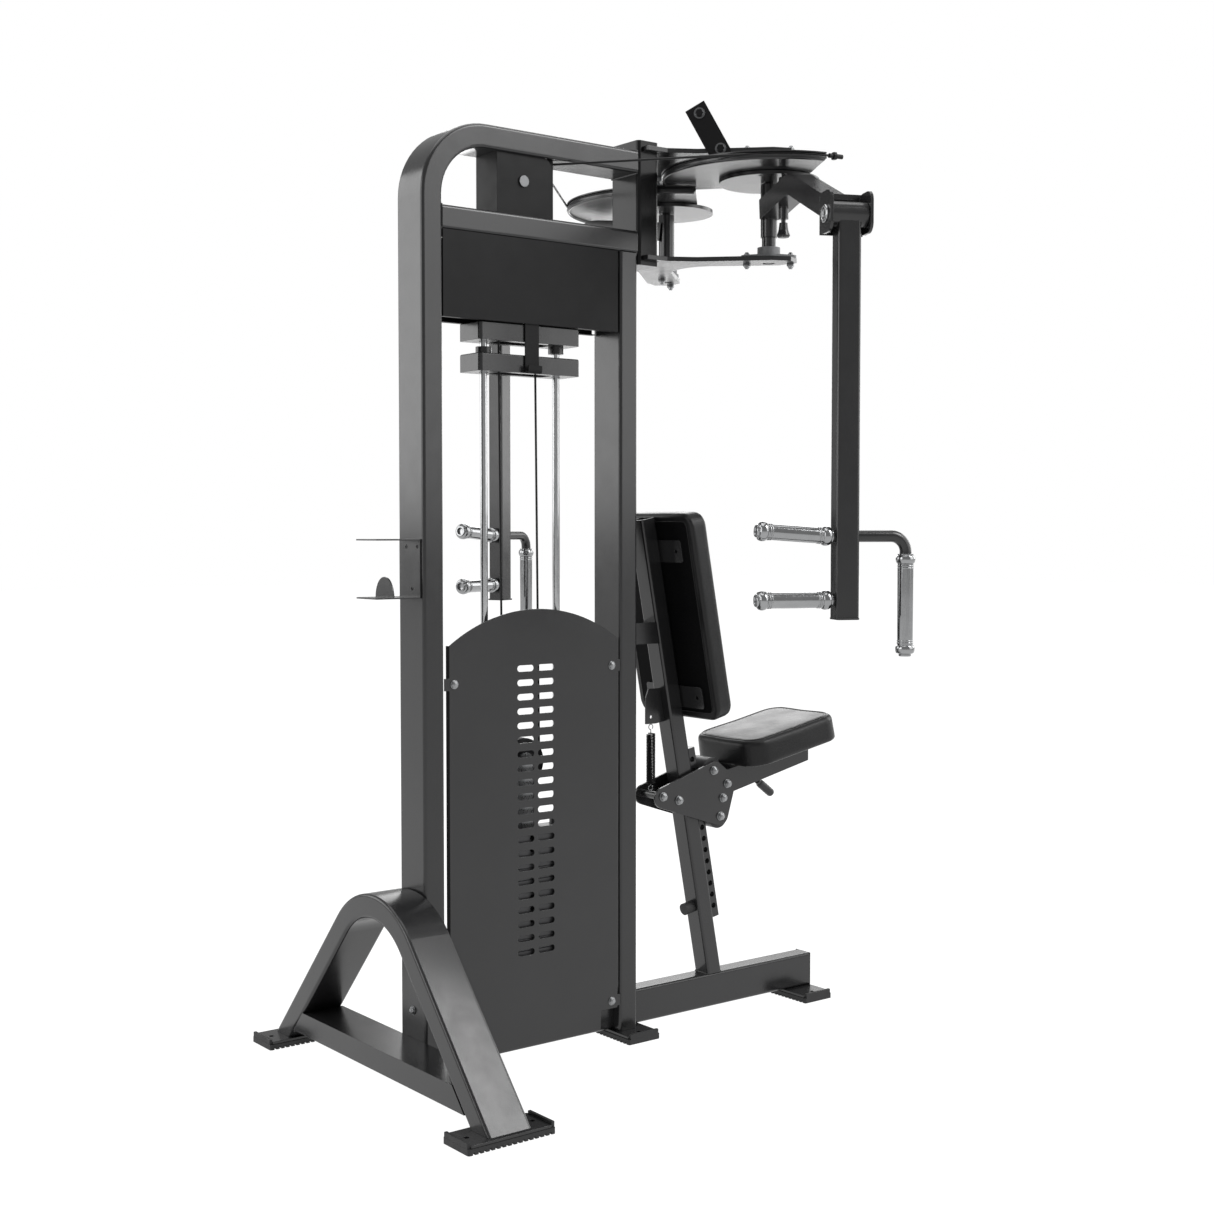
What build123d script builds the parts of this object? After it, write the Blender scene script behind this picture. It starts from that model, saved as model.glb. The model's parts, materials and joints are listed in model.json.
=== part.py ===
from build123d import *
from math import acos, asin, atan2, cos, degrees, hypot, radians, sin, tan
import os

# Selectorised pec deck machine: frame, weight stack, swinging arms, sliding seat.
# Millimetres. X runs across the machine, Y from the seat (negative) to the rear
# foot (positive), Z up from the floor. The user sits facing -Y, so the right-hand
# side is at negative X.
os.makedirs("parts", exist_ok=True)

# ---------------------------------------------------------------- driving sizes
WALL = 3
TUBE_W = 100
TUBE_D = 50
CORNER = 7
HALF_W = TUBE_W / 2

PAD_TOP = 18
UPRIGHT_FRONT = 444
UPRIGHT_Y = UPRIGHT_FRONT + TUBE_D / 2
REAR_FACE = UPRIGHT_FRONT + TUBE_D
POST_REAR = -22
POST_FRONT = POST_REAR - TUBE_D
BEAM_TOP = 2010
BEAM_Z = BEAM_TOP - TUBE_D / 2
ARCH_R = 135
CROSSBAR_Z0 = 1781
CROSSBAR_Z1 = 1831
BASE_W = 50
BASE_Z1 = 98
BASE_FRONT = -650

A_DEPTH = 100
A_SECTION = 50
A_ANGLE = 47.9
A_TOP = 404
A_BEND_R = 174
BRACE_Z0 = 39
BRACE_Z1 = 87

FOOT_L = 200
FOOT_W = 90
RUBBER_T = 12
FOOT_PLATE_T = PAD_TOP - RUBBER_T
ANCHOR_R = 5.5
ANCHOR_SPACING = 150

SHROUD_TABS = ((UPRIGHT_FRONT, 1, 835), (POST_REAR, -1, 855), (POST_REAR, -1, 92))
SHROUD_Y = (-14, 432)
SHROUD_SIDE_Z = 916
SHROUD_TOP_Z = 988
SHROUD_Z0 = 33

ROD_R = 8
ROD_YS = (120, 311)
STACK_Y = 215.5
PLATE_L = 320
PLATE_W = 84
PLATE_T = 25
PLATE_PITCH = 25.8
STACK_Z0 = 113
PLATES_BELOW = 9
PLATES_LIFTED = 5
HEAD_T = 26
ROD_HOLE_R = 10.5
SELECTOR_R = 10
SELECTOR_HOLE_R = 12.5
PIN_R = 4.5
CABLE_R = 2.5
HEAD_Z = STACK_Z0 + (PLATES_BELOW + PLATES_LIFTED) * PLATE_PITCH
HEAD_TOP = HEAD_Z + HEAD_T
PIN_Z = STACK_Z0 + PLATES_BELOW * PLATE_PITCH + PLATE_T / 2
ADD_ON_L = 264
ADD_ON_T = 38
UPPER_ADD_ON_Z = 1562
LOWER_ADD_ON_Z = 1496

SHEAVE_R = 54
SHEAVE_GROOVE_R = 48
SHEAVE_W = 20
SHEAVE_X = 14
SHEAVE_Y = 234
SHEAVE_Z = 1904
AXLE_R = 8
RUN_FRONT_Y = 170
IDLER_R = 20
IDLER_Z = 1690
IDLER_Y = RUN_FRONT_Y + IDLER_R
LIFT_PULLEY_Z = 650
GUIDE_R = 7
GUIDE_Y = 148
GUIDE_LEAD = 4.8
GUIDE_X = SHEAVE_X + CABLE_R + GUIDE_R + 0.3

CARRIER_REAR = -73
CARRIER_FRONT = -133
CARRIER_Z0 = 1756
CARRIER_Z1 = 2034
LOWER_PLATE_Z = 1768
UPPER_PLATE_Z = 2011
CARRIER_PLATE_T = 10
PIVOT_X = 183
PIVOT_Y = -349
SHAFT_R = 10
RUNNING = 0.05
BEARING_T = 25
BEARING_BOLT_R = 50
BEARING_FACES = ((LOWER_PLATE_Z + CARRIER_PLATE_T, 1), (UPPER_PLATE_Z, -1))

CAM_R = 245
CAM_GROOVE_R = 238
CAM_H = 14
CAM_PLATE_T = 4
RIGHT_CAM_Z = 1957
LEFT_CAM_Z = 1941
INNER_CHORD = (-48, 77.4)
OUTER_CHORD = (239, 76.2)
SELECTOR_PLATE_R = 114
SELECTOR_PLATE_T = 8
SELECTOR_RING_R = 100
SELECTOR_STEP = 15

ARM_BEARING = 155.8
ARM_REACH = 482
HINGE_Z = 1792
ARM_HALF = 25
SLEEVE_R = 19
SLEEVE_Z0 = 1826
EAR_INNER = 39.5
EAR_T = 6
HINGE_PIN_R = 8
FOREARM_Z0 = 978
FOREARM_RADIAL = 40
HANDLE_R = 12
GRIP_R = 14.5
GRIP_GAP = 0.25
GRIP_LENGTH = 165
REAR_GRIPS = ((1145, 4), (1017, 0))
BAR_Z = 1146
BAR_REACH = 132
DROP_GRIP = (1112, 898)

RAKE = 10.8
POST_W = 50
POST_DEPTH = 42
POST_TOP = 1185
POST_FOOT_Y = -309
POST_FOOT_Z = 103
BACK_PAD = (290, 490, 50)
SEAT_PAD = (240, 300, 64)
SEAT_CENTRE_Y = -511
SEAT_TOP_Z = 686
SIDE_PLATE_X = 33
SIDE_PLATE_T = 5
RACK_DEPTH = 23.5
SEAT_PLATE_T = 4
LEVER_PIVOT = (-447, 566)
ROLLER_GAP = 0.5
RAIL_OUT = POST_DEPTH + RACK_DEPTH + ROLLER_GAP
SPACERS = ((-158, 541), (-357, 554), (-343, 521))
BRACE_Z = (897, 946)
SPRING_Y = -152
SPRING_TOP = 707
SPRING_LOW = 552

REARWARD = (0, 1, 0)
NEAR = (-1, 0, 0)
FAR = (1, 0, 0)


# --------------------------------------------------------------------- helpers
def save(piece, label):
    """Label a finished piece and write its STEP file."""
    piece.part.label = label
    export_step(piece.part, f"parts/{label}.step")


def mirrored(piece):
    """The same piece on the other side of the machine's centre plane."""
    with BuildPart() as twin:
        mirror(piece.part, about=Plane.YZ)
    return twin


def joined(first, second):
    """Two pieces in one node: fused where they meet, separate solids where they don't."""
    with BuildPart() as group:
        add(first.part)
        add(second.part)
    return group


def tube(plane, width, height, length, wall=WALL, corner=CORNER):
    """Hollow rectangular tube with rounded corners, drawn along the plane's normal."""
    with BuildPart() as piece:
        with BuildSketch(plane):
            RectangleRounded(width, height, corner)
            RectangleRounded(width - 2 * wall, height - 2 * wall, corner - wall, mode=Mode.SUBTRACT)
        extrude(amount=length)
    return piece


def post_rear_y(z):
    """Y of the seat post's rear face at height z."""
    return POST_FOOT_Y + (z - POST_FOOT_Z) * tan(radians(RAKE))


def across(x, y, z):
    """Plane facing +X through a point, with Y and Z as its own axes."""
    return Plane(origin=(x, y, z), x_dir=(0, 1, 0), z_dir=(1, 0, 0))


def level(y, z):
    """Plane facing forwards (-Y) on the centre line, with X and Z as its own axes."""
    return Plane(origin=(0, y, z), x_dir=(1, 0, 0), z_dir=(0, -1, 0))


def hex_heads(spots, across_r=8, height=6):
    """Hexagon bolt heads on washers, seated on planes that face away from the joint."""
    with BuildPart() as group:
        for spot in spots:
            with BuildSketch(spot):
                Circle(across_r + 2)
            extrude(amount=1.6)
            with BuildSketch(spot.offset(1.6)):
                RegularPolygon(across_r, 6)
            extrude(amount=height)
    return group


# ------------------------------------------------------------------ main frame
def make_rear_arch():
    """Upright and top beam: one tube bent forwards over the weight stack."""
    foot = (0, UPRIGHT_Y, BRACE_Z0)
    with BuildPart() as piece:
        with BuildLine() as path:
            FilletPolyline(foot, (0, UPRIGHT_Y, BEAM_Z), (0, CARRIER_REAR, BEAM_Z), radius=ARCH_R)
        with BuildSketch(Plane(origin=foot, x_dir=(1, 0, 0), z_dir=(0, 0, 1))):
            RectangleRounded(TUBE_W, TUBE_D, CORNER)
            RectangleRounded(TUBE_W - 2 * WALL, TUBE_D - 2 * WALL, CORNER - WALL, mode=Mode.SUBTRACT)
        sweep(path=path.line)
    return piece


def make_front_post():
    """Upright tube under the front of the crossbar."""
    plane = Plane.XY.move(Location((0, (POST_REAR + POST_FRONT) / 2, PAD_TOP)))
    return tube(plane, TUBE_W, TUBE_D, CROSSBAR_Z0 - PAD_TOP)


def make_crossbar():
    """Level tube from the upright to the front post, slotted for the cables."""
    height = CROSSBAR_Z1 - CROSSBAR_Z0
    middle = (CROSSBAR_Z0 + CROSSBAR_Z1) / 2
    body = tube(level(UPRIGHT_FRONT, middle), TUBE_W, height, UPRIGHT_FRONT - POST_FRONT)
    slot_rear, slot_front = 298, 190
    with BuildPart() as piece:
        add(body.part)
        with Locations((0, (slot_rear + slot_front) / 2, middle)):
            Box(48, slot_rear - slot_front, 2 * height, mode=Mode.SUBTRACT)
    return piece


def make_base_tubes():
    """Floor tube in two lengths, either side of the front post, with a closed end."""
    height = BASE_Z1 - PAD_TOP
    middle = PAD_TOP + height / 2
    rear = tube(level(UPRIGHT_FRONT, middle), BASE_W, height, UPRIGHT_FRONT - POST_REAR)
    front = tube(level(POST_FRONT, middle), BASE_W, height, POST_FRONT - BASE_FRONT - 2)
    with BuildPart() as piece:
        add(rear.part)
        add(front.part)
        with Locations((0, BASE_FRONT + 1, middle)):
            Box(BASE_W, 2, height)
    return piece


def leg_outer_x(z):
    """Half width of the rear foot's outer face at height z."""
    centre = A_TOP - A_SECTION / 2 - A_BEND_R
    apex = centre + (A_BEND_R + A_SECTION / 2) / cos(radians(A_ANGLE))
    return (apex - z) / tan(radians(A_ANGLE))


def make_a_frame():
    """Rear foot: one tube bent over an apex, both ends cut level at the foot plates."""
    apex = A_TOP - A_SECTION / 2 - A_BEND_R + A_BEND_R / cos(radians(A_ANGLE))
    below = PAD_TOP - 60
    half = (apex - below) / tan(radians(A_ANGLE))
    middle_y = REAR_FACE + A_DEPTH / 2
    with BuildPart() as piece:
        with BuildLine() as path:
            FilletPolyline(
                (-half, middle_y, below), (0, middle_y, apex), (half, middle_y, below), radius=A_BEND_R
            )
        with BuildSketch(Plane(path.line @ 0, x_dir=(0, 1, 0), z_dir=path.line % 0)):
            RectangleRounded(A_DEPTH, A_SECTION, CORNER)
            RectangleRounded(A_DEPTH - 2 * WALL, A_SECTION - 2 * WALL, CORNER - WALL, mode=Mode.SUBTRACT)
        sweep(path=path.line)
        with Locations((0, middle_y, PAD_TOP - 100)):
            Box(4 * half, 2 * A_DEPTH, 200, mode=Mode.SUBTRACT)
    return piece


def make_a_brace():
    """Box strut between the legs, its ends cut to the legs' slope."""
    wall_gap = A_SECTION / sin(radians(A_ANGLE))
    low = leg_outer_x(BRACE_Z0) - wall_gap
    high = leg_outer_x(BRACE_Z1) - wall_gap
    height = BRACE_Z1 - BRACE_Z0
    with BuildPart() as piece:
        with BuildSketch(level(REAR_FACE + A_DEPTH, 0)):
            Polygon((-low, BRACE_Z0), (low, BRACE_Z0), (high, BRACE_Z1), (-high, BRACE_Z1), align=None)
        extrude(amount=A_DEPTH)
        with Locations((0, REAR_FACE + A_DEPTH / 2, (BRACE_Z0 + BRACE_Z1) / 2)):
            Box(2 * high - 8, A_DEPTH - 2 * WALL, height - 2 * WALL, mode=Mode.SUBTRACT)
    return piece


# ------------------------------------------------------------------------ feet
FOOT_X = leg_outer_x(PAD_TOP) - A_SECTION / sin(radians(A_ANGLE)) / 2
FEET = (
    (FOOT_X, REAR_FACE + A_DEPTH / 2 + 3, 90),
    (-FOOT_X, REAR_FACE + A_DEPTH / 2 + 3, 90),
    (0, (POST_REAR + POST_FRONT) / 2 - 7, 0),
    (0, BASE_FRONT + FOOT_W / 2, 0),
)


def make_foot_plates():
    lip = 7
    with BuildPart() as group:
        for x, y, turn in FEET:
            with BuildSketch(Plane.XY.move(Location((x, y, RUBBER_T), (0, 0, turn)))):
                RectangleRounded(FOOT_L - 2 * lip, FOOT_W - 4, 4)
                with GridLocations(ANCHOR_SPACING, 0, 2, 1):
                    Circle(ANCHOR_R, mode=Mode.SUBTRACT)
            extrude(amount=FOOT_PLATE_T)
    return group


def make_rubber_feet():
    lip = 7
    rib_pitch = 12.5
    ribs = int(FOOT_L / rib_pitch) - 1
    with BuildPart() as group:
        for x, y, turn in FEET:
            base = Plane.XY.move(Location((x, y, 0), (0, 0, turn)))
            with BuildSketch(base):
                RectangleRounded(FOOT_L, FOOT_W, 5)
                with GridLocations(ANCHOR_SPACING, 0, 2, 1):
                    Circle(ANCHOR_R + 2, mode=Mode.SUBTRACT)
            extrude(amount=RUBBER_T)
            with BuildSketch(base.offset(RUBBER_T)):
                with GridLocations(FOOT_L - lip, 0, 2, 1):
                    Rectangle(lip - 0.6, FOOT_W - 10)
            extrude(amount=FOOT_PLATE_T + 5)
            with BuildSketch(base):
                with GridLocations(rib_pitch, FOOT_W - 6, ribs, 2):
                    Rectangle(5, 14)
            extrude(amount=5, mode=Mode.SUBTRACT)
    return group


# ------------------------------------------------------------ covers and shroud
def make_top_panel():
    """Two cover sheets with folded lower edges, and the curled strip for parked weights."""
    rear = UPRIGHT_FRONT - 1
    front = POST_REAR + 6
    bottom = 1601
    sheet = 2
    length = rear - front
    with BuildPart() as piece:
        for side in (-1, 1):
            x = side * (HALF_W - 1 - sheet / 2)
            with Locations((x, (rear + front) / 2, (bottom + CROSSBAR_Z0) / 2)):
                Box(sheet, length, CROSSBAR_Z0 - bottom)
            with Locations((side * (HALF_W - 8), (rear + front) / 2, bottom + sheet / 2)):
                Box(14, length, sheet)
        with BuildSketch(level(STACK_Y + 18, 0)):
            with BuildLine():
                Polyline((-44, 1640), (-44, 1502))
                RadiusArc((-44, 1502), (-56, 1502), 6)
                Line((-56, 1502), (-56, 1512))
            trace(line_width=2.5)
        extrude(amount=36)
    return piece


def make_shroud():
    """Near-side weight cover: arched sheet with folded edges and a column of slots."""
    front, rear = SHROUD_Y
    sheet = 2.5
    slot_pitch = 31
    with BuildPart() as piece:
        with BuildSketch(across(-HALF_W, 0, 0)):
            with BuildLine():
                Polyline((rear, SHROUD_SIDE_Z), (rear, SHROUD_Z0), (front + 47, SHROUD_Z0))
                Polyline((front + 47, SHROUD_Z0), (front + 47, SHROUD_Z0 + 42), (front, SHROUD_Z0 + 42))
                Line((front, SHROUD_Z0 + 42), (front, SHROUD_SIDE_Z))
                crown = ((front + rear) / 2, SHROUD_TOP_Z)
                ThreePointArc((front, SHROUD_SIDE_Z), crown, (rear, SHROUD_SIDE_Z))
            make_face()
            with Locations((STACK_Y - 5, 550)):
                with GridLocations(54, slot_pitch, 2, 21):
                    SlotOverall(44, 14, mode=Mode.SUBTRACT)
        extrude(amount=sheet)
        for y, low in ((rear - sheet / 2, SHROUD_Z0), (front + sheet / 2, SHROUD_Z0 + 42)):
            with Locations((-HALF_W + 7, y, (low + SHROUD_SIDE_Z) / 2)):
                Box(14, sheet, SHROUD_SIDE_Z - low)
        for y, away, z in SHROUD_TABS:
            with Locations((-HALF_W + sheet / 2, y - away * 17, z)):
                Box(sheet, 34, 26)
    return piece


def make_accessory_shelf():
    """Bent sheet on the rear of the upright: back plate, two trays and a rounded stop."""
    sheet = 3
    half = 41
    depth = 106
    low = 1017
    high = 1140
    with BuildPart() as piece:
        with Locations((0, REAR_FACE + sheet / 2, (low + high) / 2)):
            Box(2 * half, sheet, high - low)
        for z in (low + sheet / 2, high - sheet / 2):
            with Locations((0, REAR_FACE + depth / 2, z)):
                Box(2 * half, depth, sheet)
        with BuildSketch(level(REAR_FACE + 64, 0)):
            with Locations((0, low + sheet)):
                Ellipse(36, 42)
                Rectangle(2 * half, 60, align=(Align.CENTER, Align.MAX), mode=Mode.SUBTRACT)
        extrude(amount=sheet)
        with BuildSketch(level(REAR_FACE + 2 * sheet, 0)):
            with Locations((-30, high - 16), (14, high - 16), (-9, low + 20)):
                Circle(3.5)
        extrude(amount=2 * sheet, mode=Mode.SUBTRACT)
    return piece


# ----------------------------------------------------------------- weight stack
def weight_plate(z, thickness, length=PLATE_L):
    """One guided plate: two rod holes, a centre hole and a cross hole for the pin."""
    with BuildPart() as piece:
        with BuildSketch(Plane.XY.move(Location((0, STACK_Y, z)))):
            RectangleRounded(PLATE_W, length, 6)
            with Locations(*[(0, y - STACK_Y) for y in ROD_YS]):
                Circle(ROD_HOLE_R, mode=Mode.SUBTRACT)
            Circle(SELECTOR_HOLE_R, mode=Mode.SUBTRACT)
        extrude(amount=thickness)
        chamfer(piece.faces().sort_by(Axis.Z)[-1].outer_wire().edges(), 1.5)
        with BuildSketch(across(-PLATE_W, STACK_Y, z + thickness / 2)):
            Circle(PIN_R + 1)
        extrude(amount=2 * PLATE_W, mode=Mode.SUBTRACT)
    return piece


def make_plates(first, count):
    with BuildPart() as group:
        for number in range(first, first + count):
            add(weight_plate(STACK_Z0 + number * PLATE_PITCH, PLATE_T).part)
    return group


def make_stack_head():
    """Top plate with guide bushes that ride on the rods."""
    with BuildPart() as piece:
        add(weight_plate(HEAD_Z, HEAD_T).part)
        for y in ROD_YS:
            with BuildSketch(Plane.XY.move(Location((0, y, HEAD_TOP)))):
                Circle(16)
                Circle(ROD_R + 0.5, mode=Mode.SUBTRACT)
            extrude(amount=22)
    return piece


def make_selector_rod():
    """Drilled rod hanging through the plates, with the pulley fork on its head."""
    fork_gap = 13
    fork_t = 5
    bottom = STACK_Z0 + 4
    with BuildPart() as piece:
        with BuildSketch(Plane.XY.move(Location((0, STACK_Y, bottom)))):
            Circle(SELECTOR_R)
        extrude(amount=HEAD_TOP - bottom)
        with Locations((0, STACK_Y, HEAD_TOP + 6)):
            Box(2 * (fork_gap + fork_t), 60, 12)
        for side in (-1, 1):
            with BuildSketch(across(side * (fork_gap + fork_t / 2) - fork_t / 2, STACK_Y, 0)):
                with Locations((0, LIFT_PULLEY_Z)):
                    Circle(22)
                with Locations((0, HEAD_TOP + 9)):
                    Rectangle(56, 6)
                make_hull()
            extrude(amount=fork_t)
        with BuildSketch(across(-fork_gap - fork_t, STACK_Y, LIFT_PULLEY_Z)):
            Circle(AXLE_R)
        extrude(amount=2 * (fork_gap + fork_t))
        for number in range(PLATES_BELOW + PLATES_LIFTED):
            z = STACK_Z0 + number * PLATE_PITCH + PLATE_T / 2
            with BuildSketch(across(-SELECTOR_R - 1, STACK_Y, z)):
                Circle(PIN_R + 0.4)
            extrude(amount=2 * SELECTOR_R + 2, mode=Mode.SUBTRACT)
    return piece


def make_selector_pin():
    """Pin with a flanged knob, pushed in from the open side of the stack."""
    knob_x = PLATE_W / 2 + 2
    end_x = knob_x + 38
    with BuildPart() as piece:
        with BuildSketch(across(-16, STACK_Y, PIN_Z)):
            Circle(PIN_R)
        extrude(amount=knob_x + 17)
        with BuildSketch(Plane.XY.move(Location((0, STACK_Y, PIN_Z)))):
            with BuildLine():
                Polyline(
                    (knob_x, 0), (knob_x, 16), (knob_x + 5, 16), (knob_x + 9, 9), (knob_x + 22, 9),
                    (knob_x + 28, 15), (end_x - 3, 14), (end_x, 8), (end_x, 0), (knob_x, 0),
                )
            make_face()
        revolve(axis=Axis((0, STACK_Y, PIN_Z), (1, 0, 0)))
    return piece


def make_guide_rods():
    with BuildPart() as group:
        for y in ROD_YS:
            with BuildSketch(Plane.XY.move(Location((0, y, BASE_Z1)))):
                Circle(ROD_R)
            extrude(amount=CROSSBAR_Z0 - BASE_Z1)
    return group


def make_buffers():
    """Rubber rings under the stack."""
    with BuildPart() as group:
        for y in ROD_YS:
            with BuildSketch(Plane.XY.move(Location((0, y, BASE_Z1)))):
                Circle(20)
                Circle(ROD_R + 0.3, mode=Mode.SUBTRACT)
            extrude(amount=STACK_Z0 - BASE_Z1)
    return group


def make_add_on(z, boss_y, boss_z, boss_h):
    """Parked extra weight: a split ring round the pulley, with one long guide boss."""
    with BuildPart() as piece:
        with BuildSketch(Plane.XY.move(Location((0, STACK_Y, z)))):
            RectangleRounded(PLATE_W - 2, ADD_ON_L, 8)
            RectangleRounded(44, 142, 6, mode=Mode.SUBTRACT)
            with Locations(*[(0, y - STACK_Y) for y in ROD_YS]):
                Circle(ROD_HOLE_R, mode=Mode.SUBTRACT)
        extrude(amount=ADD_ON_T)
        chamfer(piece.faces().sort_by(Axis.Z)[-1].outer_wire().edges(), 2)
        with BuildSketch(Plane.XY.move(Location((0, boss_y, boss_z)))):
            Circle(17)
            Circle(ROD_HOLE_R, mode=Mode.SUBTRACT)
        extrude(amount=boss_h)
    return piece


# ------------------------------------------------------------- pulleys and cable
def grooved_wheel(radius, groove_r, width, bore_r):
    """Sheave about X at the origin, with a round cable groove and lightened webs."""
    web = width / 2 - 5
    with BuildPart() as piece:
        with BuildSketch(across(-width / 2, 0, 0)):
            Circle(radius)
            Circle(bore_r, mode=Mode.SUBTRACT)
        extrude(amount=width)
        with BuildSketch(Plane.XY):
            with BuildLine():
                Polyline((-4.5, radius + 1), (-2.8, groove_r), (2.8, groove_r), (4.5, radius + 1), close=True)
            make_face()
        revolve(axis=Axis.X, mode=Mode.SUBTRACT)
        if groove_r > 2 * bore_r + 15:
            for x in (-width / 2, width / 2 - web):
                with BuildSketch(across(x, 0, 0)):
                    Circle(groove_r - 8)
                    Circle(bore_r + 7, mode=Mode.SUBTRACT)
                extrude(amount=web, mode=Mode.SUBTRACT)
    return piece


def make_sheave(x, y, z, radius=SHEAVE_R, groove_r=SHEAVE_GROOVE_R, width=SHEAVE_W):
    wheel = grooved_wheel(radius, groove_r, width, AXLE_R + RUNNING)
    with BuildPart() as piece:
        add(wheel.part.moved(Location((x, y, z))))
    return piece


def make_pulley_bracket():
    """Side sheets between the crossbar and the beam, with the cable guide pins."""
    sheet = 4
    x = 38
    rear, front = 300, 160
    with BuildPart() as piece:
        for side in (-1, 1):
            with BuildSketch(across(side * x - sheet / 2, 0, 0)):
                with BuildLine():
                    Polyline((rear, CROSSBAR_Z1), (front, CROSSBAR_Z1), (front, BEAM_Z - 45))
                    RadiusArc((front, BEAM_Z - 45), (front + 20, BEAM_Z - 25), 20)
                    Polyline((front + 20, BEAM_Z - 25), (rear, BEAM_Z - 25), (rear, CROSSBAR_Z1))
                make_face()
                with Locations((SHEAVE_Y, SHEAVE_Z)):
                    Circle(AXLE_R + RUNNING, mode=Mode.SUBTRACT)
            extrude(amount=sheet)
        with Locations((0, rear + 1, (CROSSBAR_Z1 + BEAM_Z - 25) / 2)):
            Box(2 * x + sheet, 2, BEAM_Z - 25 - CROSSBAR_Z1)
        for side in (-1, 1):
            with BuildSketch(Plane.XY.move(Location((side * GUIDE_X, GUIDE_Y + GUIDE_LEAD, CROSSBAR_Z1)))):
                Circle(GUIDE_R)
            extrude(amount=BEAM_Z - 25 - CROSSBAR_Z1)
    return piece


def make_axles():
    """Sheave axle with flat heads outside the bracket, and the idler's axle."""
    with BuildPart() as group:
        for y, z, half, head in ((SHEAVE_Y, SHEAVE_Z, 40, 12), (IDLER_Y, IDLER_Z, 47, 10)):
            with BuildSketch(across(-half, y, z)):
                Circle(AXLE_R)
            extrude(amount=2 * half)
            if half < 47:
                for x in (-half - 4, half):
                    with BuildSketch(across(x, y, z)):
                        Circle(head)
                    extrude(amount=4)
    return group


def tangent_bearing():
    """Bearing, from the right-hand pivot, of the point where the cable meets the cam."""
    groove = CAM_GROOVE_R + CABLE_R
    dx = -SHEAVE_X + PIVOT_X
    dy = GUIDE_Y - PIVOT_Y
    return degrees(atan2(dy, dx) + acos(groove / hypot(dx, dy)))


def cable_run(start, end):
    """Straight length of cable between two points."""
    along = Vector(*end) - Vector(*start)
    with BuildPart() as piece:
        with BuildSketch(Plane(origin=start, z_dir=along)):
            Circle(CABLE_R)
        extrude(amount=along.length)
    return piece


def slanted_run():
    """Cable from the front of the idler to the rear of the left-hand sheave."""
    low = IDLER_R + CABLE_R
    high = SHEAVE_GROOVE_R + CABLE_R
    rise = SHEAVE_Z - IDLER_Z
    shift = SHEAVE_Y - IDLER_Y
    angle = atan2(rise, shift) - asin((low + high) / hypot(rise, shift))
    start = (SHEAVE_X, IDLER_Y - low * sin(angle), IDLER_Z + low * cos(angle))
    end = (SHEAVE_X, SHEAVE_Y + high * sin(angle), SHEAVE_Z - high * cos(angle))
    return cable_run(start, end)


def make_cam_cables():
    """From each sheave's top past its guide pin towards the cam's rim."""
    groove = CAM_GROOVE_R + CABLE_R
    bearing = radians(tangent_bearing())
    top = SHEAVE_Z + SHEAVE_GROOVE_R + CABLE_R
    short_of_rim = 56
    with BuildPart() as group:
        for side, cam_z in ((-1, RIGHT_CAM_Z), (1, LEFT_CAM_Z)):
            reach_x = side * (PIVOT_X - groove * cos(bearing))
            reach = Vector(reach_x, PIVOT_Y + groove * sin(bearing), cam_z + CAM_H / 2 + 1)
            turn = Vector(side * SHEAVE_X, GUIDE_Y, top)
            end = reach + (turn - reach).normalized() * short_of_rim
            add(cable_run((side * SHEAVE_X, SHEAVE_Y - 4, top), turn).part)
            add(cable_run(turn, end).part)
        add(slanted_run().part)
    return group


def make_lift_cables():
    """The two runs that shorten as the lifting pulley rises."""
    rear_y = SHEAVE_Y + SHEAVE_GROOVE_R + CABLE_R
    low = LIFT_PULLEY_Z + 3
    front_run_y = RUN_FRONT_Y - CABLE_R - 0.6
    with BuildPart() as group:
        rear_top = (-SHEAVE_X, rear_y, SHEAVE_Z - 8)
        front_top = (SHEAVE_X, RUN_FRONT_Y - CABLE_R, IDLER_Z - 8)
        add(cable_run(rear_top, (0, 2 * STACK_Y - front_run_y, low)).part)
        add(cable_run(front_top, (0, front_run_y, low)).part)
    return group


# ------------------------------------------------------------------- arm carrier
def make_carrier_tube():
    """Upright tube with closed ends that holds both forked plates."""
    plane = Plane.XY.move(Location((0, (CARRIER_REAR + CARRIER_FRONT) / 2, CARRIER_Z0)))
    depth = CARRIER_REAR - CARRIER_FRONT
    body = tube(plane, TUBE_W, depth, CARRIER_Z1 - CARRIER_Z0, corner=9)
    with BuildPart() as piece:
        add(body.part)
        for z in (CARRIER_Z0, CARRIER_Z1 - 3):
            with BuildSketch(Plane.XY.move(Location((0, (CARRIER_REAR + CARRIER_FRONT) / 2, z)))):
                RectangleRounded(TUBE_W - 2 * WALL, depth - 2 * WALL, 6)
            extrude(amount=3)
    return piece


def carrier_plate(z):
    """Forked plate hugging the carrier tube and reaching both pivots."""
    notch = HALF_W + 0.5
    outer = ((notch, -88), (66, -88), (70, -142), (105, -200), (225, -322), (243, -362), (226, -396))
    inner = ((178, -388), (70, -268), (0, -244))
    rear = ((notch, CARRIER_FRONT - 0.5), (0, CARRIER_FRONT - 0.5))
    with BuildPart() as half:
        with BuildSketch(Plane.XY.offset(z)):
            with BuildLine():
                Polyline(rear[1], rear[0], *outer, inner[0], inner[1])
                ThreePointArc(inner[1], (38, -250), inner[2])
                Line(inner[2], rear[1])
            make_face()
            with Locations((PIVOT_X, PIVOT_Y)):
                Circle(SHAFT_R + 4, mode=Mode.SUBTRACT)
                with PolarLocations(BEARING_BOLT_R, 2, start_angle=128):
                    Circle(5.3, mode=Mode.SUBTRACT)
        extrude(amount=CARRIER_PLATE_T)
    with BuildPart() as piece:
        add(half.part)
        mirror(half.part, about=Plane.YZ)
    return piece


def make_carrier_plates():
    with BuildPart() as group:
        add(carrier_plate(LOWER_PLATE_Z).part)
        add(carrier_plate(UPPER_PLATE_Z).part)
    return group


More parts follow.
